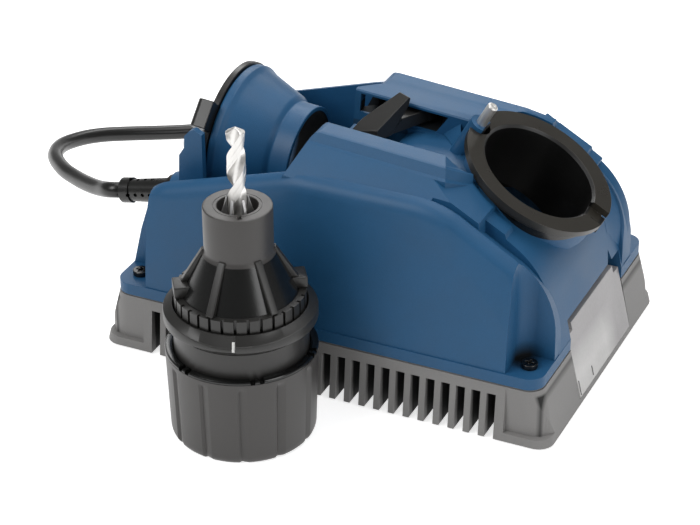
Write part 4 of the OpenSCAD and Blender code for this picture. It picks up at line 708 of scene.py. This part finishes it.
def nose_surface():
    """Chuck's body turned about the axis: neck, hub, cone, nose with a rounded mouth, and bore. A notch at
    one angle lowers the inner part of the mouth's face."""
    angles = round_turn(720)
    top = 108.4
    face = top - NOTCH_DEEP * (np.abs(turn_from(NOTCH_TURN, angles)) < NOTCH_HALF)
    outside = [(13.3, 14.0), (28.9, 14.0), (28.9, 53.0), (28.4, 53.3), (24.8, 55.0), (24.8, 68.55),
               (24.7, 68.8), (15.6, 86.6), (15.2, 87.3), (14.8, 88.0), (14.7, 88.9), (14.7, 107.7),
               (14.62, 108.1), (14.3, 108.35), (13.9, top), (12.6, top)]
    mouth = [(12.55, face), (10.35, face), (10.3, face - 0.2), (10.1, face - 0.2), (10.05, face),
             (8.9, face), (8.6, face - 0.3), (8.55, face - 0.8)]
    return turned_rows(outside + mouth + [(8.55, 67.6), (13.3, 67.6)], angles)


KNOB_R, KNOB_FOOT_R, KNOB_H, RIM_Z = 32.8, 31.4, 42.1, 40.5
GROOVE_TURN, GROOVES, GROOVE_DEEP, GROOVE_DROP, GROOVE_RUN = -65.0, 12, 1.0, 2, 6
LATCH_TURN, LATCHES, LATCH_OFF, LATCH_HALF = -51.5, 6, 3.65, 1.7
MARK_TURN = -68.7


def knob_surface():
    """Hollow drum, tapered to a rounded foot. A saw-tooth is taken off its outer radius: at each groove
    it drops over 2 degrees and runs out in a straight line over 6, and it fades out under the rim."""
    angles = round_turn(720)
    z = np.concatenate(([0, 0.4, 0.8, 1.4, 2.2, 3.2], np.linspace(4, RIM_Z - 5, 12),
                        np.linspace(RIM_Z - 4.5, RIM_Z, 13)))
    outside = KNOB_FOOT_R + (KNOB_R - KNOB_FOOT_R) * z / KNOB_H - 1.6 * np.clip(1 - z / 4, 0, 1) ** 3
    past = (np.degrees(angles) - GROOVE_TURN) % (360 / GROOVES)
    drop = np.clip((past - 360 / GROOVES + GROOVE_DROP) / GROOVE_DROP, 0, 1)
    saw = np.maximum(np.clip(1 - past / GROOVE_RUN, 0, 1), drop)
    fade = 1 - eased(z, RIM_Z - 4, RIM_Z - 1)
    radius = outside[:, None] - GROOVE_DEEP * saw[None, :] * fade[:, None]
    inside = np.array([(30.2, RIM_Z), (30.2, 36.0), (29.2, 35.9), (29.2, 4.0), (28.2, 4.0), (28.2, 0.0)])
    radius = np.vstack((radius, np.broadcast_to(inside[:, :1], (len(inside), len(angles)))))
    height = np.concatenate((z, inside[:, 1]))[:, None]
    return turned(radius, height, angles)


def rim_surface():
    """Thin rounded rim turned about the axis, cut to a tenth of its height at pairs of latch notches."""
    angles = round_turn(720)
    low = RIM_Z + 0.05
    off = np.abs((np.degrees(angles) - LATCH_TURN + 180 / LATCHES) % (360 / LATCHES) - 180 / LATCHES)
    kept = np.where(np.abs(off - LATCH_OFF) < LATCH_HALF, 0.1, 1.0)
    profile = [(29.25, 36.2), (29.25, 41.5), (29.4, 41.9), (29.8, 42.1), (32.0, 42.1), (32.45, 41.98),
               (32.72, 41.65), (32.8, 41.2), (32.74, 40.8), (32.4, low), (30.25, low), (30.25, 36.2)]
    return turned_rows([(r, low + (z - low) * kept if z > low else z) for r, z in profile], angles)


def collar_surface():
    """Cam collar turned about the axis: a cone under the toothed ring, a lip, and a sloped underside.
    The lip draws in smoothly to the index mark from its left, and starts with a small step on its right."""
    angles = round_turn(720)
    off = turn_from(MARK_TURN, angles)
    grown = np.where(off < 1.5, eased(-off, 4, 60), 0.35 + 0.65 * eased(off, 2, 75))
    lip, top, low = 31.5 + 1.4 * grown, 57.2 + 3.2 * grown, 55.7
    return turned_rows(
        [(28.5, 61.2), (28.55, 62.5), (28.9, 62.9), (29.3, 62.8), (lip - 0.7, top + 0.5),
         (lip - 0.2, top + 0.25), (lip, top - 0.3), (lip, low + 0.5), (lip - 0.25, low + 0.1),
         (lip - 0.7, low), (29.4, 53.7), (29.0, 53.3), (28.6, 53.2)], angles)


def mark_surface():
    """Thin painted strip lying on the collar's cone and lip at the index mark: its outline carried round
    a narrow arc."""
    face = np.array([(31.55, 56.2), (31.55, 56.9), (31.35, 57.5), (30.86, 57.76), (30.1, 60.4)])
    outline = np.vstack((face, (face - (0.4, 0.1))[::-1]))
    arc = np.radians(MARK_TURN + np.linspace(-1.15, 1.15, 7))
    return np.swapaxes(turned(outline[:, :1], outline[:, 1:], arc), 0, 1)


# The drill's diameter, its ends and the start of its flutes, half its point's angle, and its winding
BIT_D, BIT_LOW, FLUTE_LOW, BIT_TIP = 7.94, 22.1, 72.6, 144.5
POINT_SLOPE = math.tan(math.radians(59))
FLUTE_LEAD, FLUTE_AT, FLUTE_TURN = 36.0, 135.3, -152.0


def drill_surface():
    """Round bar with two flutes wound round it. Across the bar, the reach from the axis at an angle from
    a flute's middle is the nearer of the land and the flute's round wall; a narrow margin stands proud at
    one edge of the land. The section turns once in each lead, and a cone of 118 degrees cuts the point."""
    around = round_turn(180)
    shoulder = BIT_TIP - BIT_D / 2 / POINT_SLOPE
    z = np.concatenate((np.linspace(BIT_LOW, FLUTE_LOW - 1, 8), np.linspace(FLUTE_LOW, shoulder, 170),
                        np.linspace(shoulder + 0.15, BIT_TIP, 12)))
    off = (np.degrees(around) + 90) % 180 - 90
    out, round_r = 0.49 * BIT_D, 0.36 * BIT_D
    side = round_r ** 2 - (out * np.sin(np.radians(off))) ** 2
    wall = np.where(side > 0, out * np.cos(np.radians(off)) - np.sqrt(np.maximum(side, 0)), BIT_D)
    land = np.where(off > -64, 0.487 * BIT_D, 0.5 * BIT_D)
    section = np.minimum(np.where(np.abs(off) > 38, land, BIT_D / 2), wall)
    wound = eased(z, FLUTE_LOW, FLUTE_LOW + 6)[:, None]
    reach = BIT_D / 2 + (section[None, :] - BIT_D / 2) * wound
    reach = np.minimum(reach, np.maximum(BIT_TIP - z, 0)[:, None] * POINT_SLOPE)
    turn = np.radians(FLUTE_TURN + 360 * (z - FLUTE_AT) / FLUTE_LEAD)[:, None] + around[None, :]
    return turned(reach, z[:, None], turn)


# The strain relief's root, droop and length, then the coil's middle, outer radius, pitch and turns, its
# lift off the floor and the straight tail into the plug; depths are from the machine's middle
RELIEF_AT = np.array((-101.4, -13.0, 52.0))
RELIEF_ALONG = -sloped(-12.0)
RELIEF_LEN = 26.0
RELIEF_EDGE = 0.00025
COIL_AT = np.array((-45.0, 132.0))
COIL_OUT, COIL_PITCH, COIL_TURNS, COIL_LIFT = 54.0, 8.2, 5.125, 0.8
COIL_TAIL = 36.0
PLUG_ANGLE = math.radians(-45.0)
CORD_SIDES = 20
# Listed points of the free stretch, from the relief round behind the machine to the coil
ROUTE = [
    (-143, -7.5, 41), (-153, -1, 37.5), (-165, 7.5, 34), (-180, 19, 30.5), (-194, 34.5, 27),
    (-200.5, 51, 23.5), (-200, 68, 19.5), (-195.5, 82, 16), (-188, 94.5, 12.5), (-178, 107, 9.2),
    (-166, 120, 6.4), (-150, 135, 5), (-131, 151, 4.7), (-110, 165, 4.6), (-88, 176.5, 4.6),
    (-70, 183, 4.6)]


def relief_point(along):
    """Point on the strain relief's drooping axis, that far out of its root."""
    return RELIEF_AT + along * RELIEF_ALONG


def spline_through(points, steps):
    """Catmull-Rom curve through the points, straight between the first two and the last two."""
    p = np.asarray(points, float)
    t = np.linspace(0, 1, steps, endpoint=False)[None, :, None]
    a, b, c, d = (p[k:len(p) - 3 + k, None, :] for k in range(4))
    curve = 0.5 * (2 * b + (c - a) * t + (2 * a - 5 * b + 4 * c - d) * t ** 2
                   + (3 * b - a - 3 * c + d) * t ** 3)
    return np.vstack((p[:1], curve.reshape(-1, 3), p[-2:]))


def cord_path(cord_d):
    """Whole centreline of the cord: the free stretch, then a flat spiral in, one layer up and a
    spiral out again, then a straight end into the plug."""
    low = cord_d / 2 + COIL_LIFT
    turns = np.linspace(0, COIL_TURNS, round(COIL_TURNS * 48) + 1)
    middle = COIL_TURNS / 2
    radius = COIL_OUT - COIL_PITCH * (middle - np.abs(turns - middle))
    rise = np.clip((turns - middle) / 0.5 + 0.5, 0, 1)
    height = low + COIL_PITCH * (1 - np.cos(math.pi * rise)) / 2
    angle = math.pi / 2 - 2 * math.pi * turns
    coil = np.stack((COIL_AT[0] + radius * np.cos(angle), COIL_AT[1] + radius * np.sin(angle), height), 1)
    start = [relief_point(RELIEF_LEN), relief_point(RELIEF_LEN + cord_d)]
    lead = [coil[0] - (2 * cord_d, 0, 0), coil[0] - (cord_d, 0, 0)]
    free = spline_through([*start, *ROUTE, *lead], 6)
    end = coil[-1] + COIL_TAIL * np.array((math.cos(PLUG_ANGLE), math.sin(PLUG_ANGLE), 0.0))
    straight = coil[-1] + np.linspace(0, 1, 7)[1:, None] * (end - coil[-1])
    path = np.vstack((free, coil, straight))
    path[:, 1] += BASE_Y
    return path


class SHARPENER_OT_cord(bpy.types.Operator):
    """Mains cord, as one tube from the strain relief to the plug, with its relief, tie and plug."""

    bl_idname = "sharpener.cord"
    bl_label = "Cord and plug"

    def execute(self, context):
        cord_d = sizes().cord_d / MM
        path = cord_path(cord_d)
        tube_points = swept(path, cord_d / 2, CORD_SIDES)
        mesh = grid_mesh("mains_cord", tube_points, wrap_u=True, cap_start=True, cap_end=True)
        piece = put("mains_cord", mesh, "machine", "cord_rubber", ["cord_run", "cord_coil"])
        dress(piece, "cord_rubber")
        on_it = [moulded_copy("plug_body", "plug_moulding", sizes().edge_small),
                 moulded_copy("plug_blades", "plug_pins", sizes().edge_fine),
                 moulded_copy("coil_tie", "cord_tie", sizes().edge_hair),
                 moulded_copy("strain_relief", "cord_relief", RELIEF_EDGE)]
        return {"FINISHED"}


# The photograph's camera: its place in metres, its turn, rise and roll, and its focal length in pixels
CAMERA_AT = (0.38842, -0.84345, 0.59364)
CAMERA_AZIMUTH, CAMERA_RISE, CAMERA_ROLL = (math.radians(a) for a in (24.808, 30.433, -0.274))
CAMERA_FOCAL_PX, PHOTO_WIDTH_PX, SENSOR_MM = 2426.5, 700.0, 36.0


# Soft boxes: name, place, width and height in metres, and power in watts
SOFT_BOXES = (
    ("key_box", (-0.55, -0.75, 1.05), (0.7, 0.7), 8.5),
    ("top_box", (0.10, 0.35, 1.25), (1.0, 0.8), 6.5),
    ("side_box", (1.05, -0.35, 0.55), (0.5, 0.7), 4.0),
    ("back_box", (-0.45, 1.15, 0.85), (1.1, 0.5), 7.0))
LIGHT_AIM = (0.0, 0.02, 0.05)
# The world as the camera sees it and as it lights the part, and the floor's glow as seen
WORLD_SEEN, WORLD_LIT, FLOOR_GLOW = 1.0, 0.22, 0.7
FLOOR_REACH = 6.0


def area_light(name, at, aim, size, power):
    """Soft box that looks at a point."""
    lamp = bpy.data.lights.new(name, "AREA")
    lamp.shape = "RECTANGLE"
    lamp.size, lamp.size_y = size
    lamp.energy = power
    holder = bpy.data.objects.new(name, lamp)
    holder.location = at
    holder.rotation_euler = (Vector(aim) - Vector(at)).to_track_quat("-Z", "Y").to_euler()
    bpy.context.scene.collection.objects.link(holder)


def seen_ray(tree):
    """1 where a ray of the camera, or one mirrored or passed through, arrives; else 0."""
    rays = tree.nodes.new("ShaderNodeLightPath")
    straight = math_node(tree, "MAXIMUM", rays.outputs["Is Camera Ray"], rays.outputs["Is Glossy Ray"])
    return math_node(tree, "MAXIMUM", straight, rays.outputs["Is Transmission Ray"])


class SHARPENER_OT_stage(bpy.types.Operator):
    """Pale floor, soft studio light and the camera."""

    bl_idname = "sharpener.stage"
    bl_label = "Stage"

    def execute(self, context):
        scene = context.scene
        scene.view_settings.view_transform = "Standard"
        self.camera(scene)
        self.world(scene)
        self.floor()
        for name, at, size, power in SOFT_BOXES:
            area_light(name, at, LIGHT_AIM, size, power)
        return {"FINISHED"}

    def camera(self, scene):
        camera = bpy.data.cameras.new("camera")
        camera.sensor_width = SENSOR_MM
        camera.lens = CAMERA_FOCAL_PX / PHOTO_WIDTH_PX * SENSOR_MM
        camera.clip_start = 0.01
        holder = bpy.data.objects.new("camera", camera)
        az, el, roll = CAMERA_AZIMUTH, CAMERA_RISE, CAMERA_ROLL
        right = Vector((math.cos(az), math.sin(az), 0.0))
        ahead = Vector((-math.sin(az) * math.cos(el), math.cos(az) * math.cos(el), -math.sin(el)))
        up = right.cross(ahead)
        turned_right = right * math.cos(roll) + up * math.sin(roll)
        turned_up = up * math.cos(roll) - right * math.sin(roll)
        turn = Matrix((turned_right, turned_up, -ahead)).transposed()
        holder.matrix_world = Matrix.Translation(CAMERA_AT) @ turn.to_4x4()
        scene.collection.objects.link(holder)
        scene.camera = holder

    def world(self, scene):
        world = bpy.data.worlds.new("studio")
        world.use_nodes = True
        tree = world.node_tree
        back = tree.nodes["Background"]
        back.inputs["Color"].default_value = (1.0, 1.0, 1.0, 1.0)
        rays = tree.nodes.new("ShaderNodeLightPath")
        seen = math_node(tree, "MULTIPLY", rays.outputs["Is Camera Ray"], WORLD_SEEN - WORLD_LIT)
        strength = math_node(tree, "ADD", seen, WORLD_LIT)
        tree.links.new(strength, back.inputs["Strength"])
        scene.world = world

    def floor(self):
        mesh = bpy.data.meshes.new("floor")
        corners = [(x * FLOOR_REACH, y * FLOOR_REACH, 0) for x, y in ((-1, -1), (1, -1), (1, 1), (-1, 1))]
        mesh.from_pydata(corners, [], [(0, 1, 2, 3)])
        floor = bpy.data.objects.new("floor", mesh)
        bpy.context.scene.collection.objects.link(floor)
        made = bpy.data.materials.new("pale_floor")
        made.use_nodes = True
        tree = made.node_tree
        shader = tree.nodes["Principled BSDF"]
        shader.inputs["Base Color"].default_value = (*colours().floor, 1.0)
        shader.inputs["Roughness"].default_value = 0.9
        shader.inputs["Specular IOR Level"].default_value = 0.0
        glow = math_node(tree, "MULTIPLY", seen_ray(tree), FLOOR_GLOW)
        tree.links.new(glow, shader.inputs["Emission Color"])
        shader.inputs["Emission Strength"].default_value = 1.0
        floor.data.materials.append(made)


# The base's rounding as a share of the housing's, and the screws' and feet's in metres
BASE_EDGE_SHARE = 0.7
SCREW_EDGE = 0.0003


class SHARPENER_OT_housing(bpy.types.Operator):
    """Blue upper housing and grey vented base, with their screws and feet."""

    bl_idname = "sharpener.housing"
    bl_label = "Housing and base"

    def execute(self, context):
        edge = sizes().edge_housing
        moulded_copy("upper_housing", "blue_housing", edge)
        moulded_copy("lower_base", "vented_base", edge * BASE_EDGE_SHARE)
        moulded_copy("housing_screws", "corner_screws", SCREW_EDGE)
        moulded_copy("rubber_feet", "bench_feet", SCREW_EDGE)
        return {"FINISHED"}


class SHARPENER_OT_fittings(bpy.types.Operator):
    """Port ring, cam pin, alignment tube, angle ring, lever, tray and switch."""

    bl_idname = "sharpener.fittings"
    bl_label = "Fittings"

    def execute(self, context):
        small, fine = sizes().edge_small, sizes().edge_fine
        for node, name, width, look in (
                ("sharpening_ring", "port_ring", small, "ring_black"),
                ("cam_pin", "port_pin", fine, None),
                ("alignment_tube", "aligning_tube", small, "tube_blue"),
                ("angle_ring", "angle_dial", small, None),
                ("stop_lever", "stop_paddle", small, "satin_black"),
                ("lever_pin", "paddle_pin", fine, None),
                ("debris_tray", "clear_tray", fine, None),
                ("switch_body", "switch_frame", fine, None),
                ("switch_rocker", "switch_key", fine, None)):
            moulded_copy(node, name, width, look)
        for name, points, slot, look in (
                ("rear_rail", rail_surface(), "blue_plastic", "blue_plastic"),
                ("end_fillet", fillet_surface(), "blue_plastic", "blue_plastic"),
                ("slot_floor", slot_surface(), "black_plastic", "black_plastic"),
                # Painted shadow: black band under the port ring's rim
                ("ring_shadow_band", gasket_surface(), "black_plastic", "gloss_black")):
            mesh = grid_mesh(name, points, wrap_u=True, cap_start=True, cap_end=True)
            mesh.set_sharp_from_angle(angle=SHARP_FOLD)
            dress(put(name, mesh, "machine", slot), look)
        box_pieces("tray_ribs", tray_lines(), "tray", "clear_plastic", "tray_edge")
        return {"FINISHED"}


class SHARPENER_OT_chuck(bpy.types.Operator):
    """Standing chuck: knob, collar, toothed ring, nose, jaws and drill."""

    bl_idname = "sharpener.chuck"
    bl_label = "Chuck and drill"

    def execute(self, context):
        for node, name, look in (("index_ring", "toothed_ring", "satin_black"),
                                 ("knob_cap", "knob_foot", None),
                                 ("jaw_carrier", "jaw_seat", None)):
            moulded_copy(node, name, sizes().edge_fine, look)
        for k in range(1, 7):
            moulded_copy("jaw_%d" % k, "steel_jaw_%d" % k, sizes().edge_hair)
        for name, points, body, slot, look, replaced in (
                ("turning_knob", knob_surface(), "knob", "knob_plastic", "knob_plastic", ["chuck_knob"]),
                ("knob_rim", rim_surface(), "knob", "knob_plastic", "gloss_black", []),
                ("chuck_nose", nose_surface(), "chuck", "black_plastic", "nose_plastic", ["chuck_shell"]),
                ("cam_rim", collar_surface(), "chuck", "black_plastic", "satin_black", ["cam_collar"])):
            mesh = grid_mesh(name, points, wrap_u=True, wrap_v=True)
            mesh.set_sharp_from_angle(angle=SHARP_FOLD)
            dress(put(name, mesh, body, slot, replaced), look)
        for name, places in (("cone_ribs", rib_surfaces()), ("cone_tabs", tab_surfaces())):
            box_pieces(name, places, "chuck", "black_plastic", "satin_black")
        mark = grid_mesh("index_mark", mark_surface(), wrap_u=True, cap_start=True, cap_end=True)
        dress(put("index_mark", mark, "chuck", "black_plastic"), "mark_paint")
        drill = grid_mesh("twist_drill", drill_surface(), wrap_u=True, cap_start=True)
        drill.set_sharp_from_angle(angle=SHARP_FOLD)
        dress(put("twist_drill", drill, "bit", "bright_steel", ["drill_bit"]), "bright_steel")
        return {"FINISHED"}


class SHARPENER_OT_inside(bpy.types.Operator):
    """Motor, spindle, wheel and dust wall inside the housing, which keep their frame shapes."""

    bl_idname = "sharpener.inside"
    bl_label = "Motor and wheel"

    def execute(self, context):
        for node in ("motor_can", "motor_end_cap", "motor_front_plate", "motor_cradle", "dust_partition",
                     "front_bearing", "rear_bearing", "motor_shaft", "rotor_core", "cooling_fan",
                     "grinding_wheel", "wheel_nut"):
            dress(frame["nodes"][node], SLOT_OF[node])
        return {"FINISHED"}


OPERATORS = (SHARPENER_OT_stage, SHARPENER_OT_cord, SHARPENER_OT_housing, SHARPENER_OT_fittings,
             SHARPENER_OT_chuck, SHARPENER_OT_inside)


class SHARPENER_PT_panel(bpy.types.Panel):
    """Lists the sharpener's pieces, colours and sizes."""

    bl_idname = "SHARPENER_PT_panel"
    bl_label = "Drill bit sharpener"
    bl_space_type = "VIEW_3D"
    bl_region_type = "UI"
    bl_category = "Sharpener"

    def draw(self, context):
        for operator in OPERATORS:
            self.layout.operator(operator.bl_idname)
        for group in (context.scene.sharpener_colours, context.scene.sharpener_sizes):
            for name in group.__annotations__:
                self.layout.prop(group, name)


CLASSES = (SharpenerColours, SharpenerSizes, *OPERATORS, SHARPENER_PT_panel)


def register():
    for made in CLASSES:
        bpy.utils.register_class(made)
    bpy.types.Scene.sharpener_colours = bpy.props.PointerProperty(type=SharpenerColours)
    bpy.types.Scene.sharpener_sizes = bpy.props.PointerProperty(type=SharpenerSizes)


def unregister():
    del bpy.types.Scene.sharpener_colours
    del bpy.types.Scene.sharpener_sizes
    for made in reversed(CLASSES):
        bpy.utils.unregister_class(made)


def main():
    register()
    bpy.ops.sharpener.stage()
    bpy.ops.sharpener.cord()
    bpy.ops.sharpener.housing()
    bpy.ops.sharpener.fittings()
    bpy.ops.sharpener.chuck()
    bpy.ops.sharpener.inside()


if __name__ == "__main__":
    main()
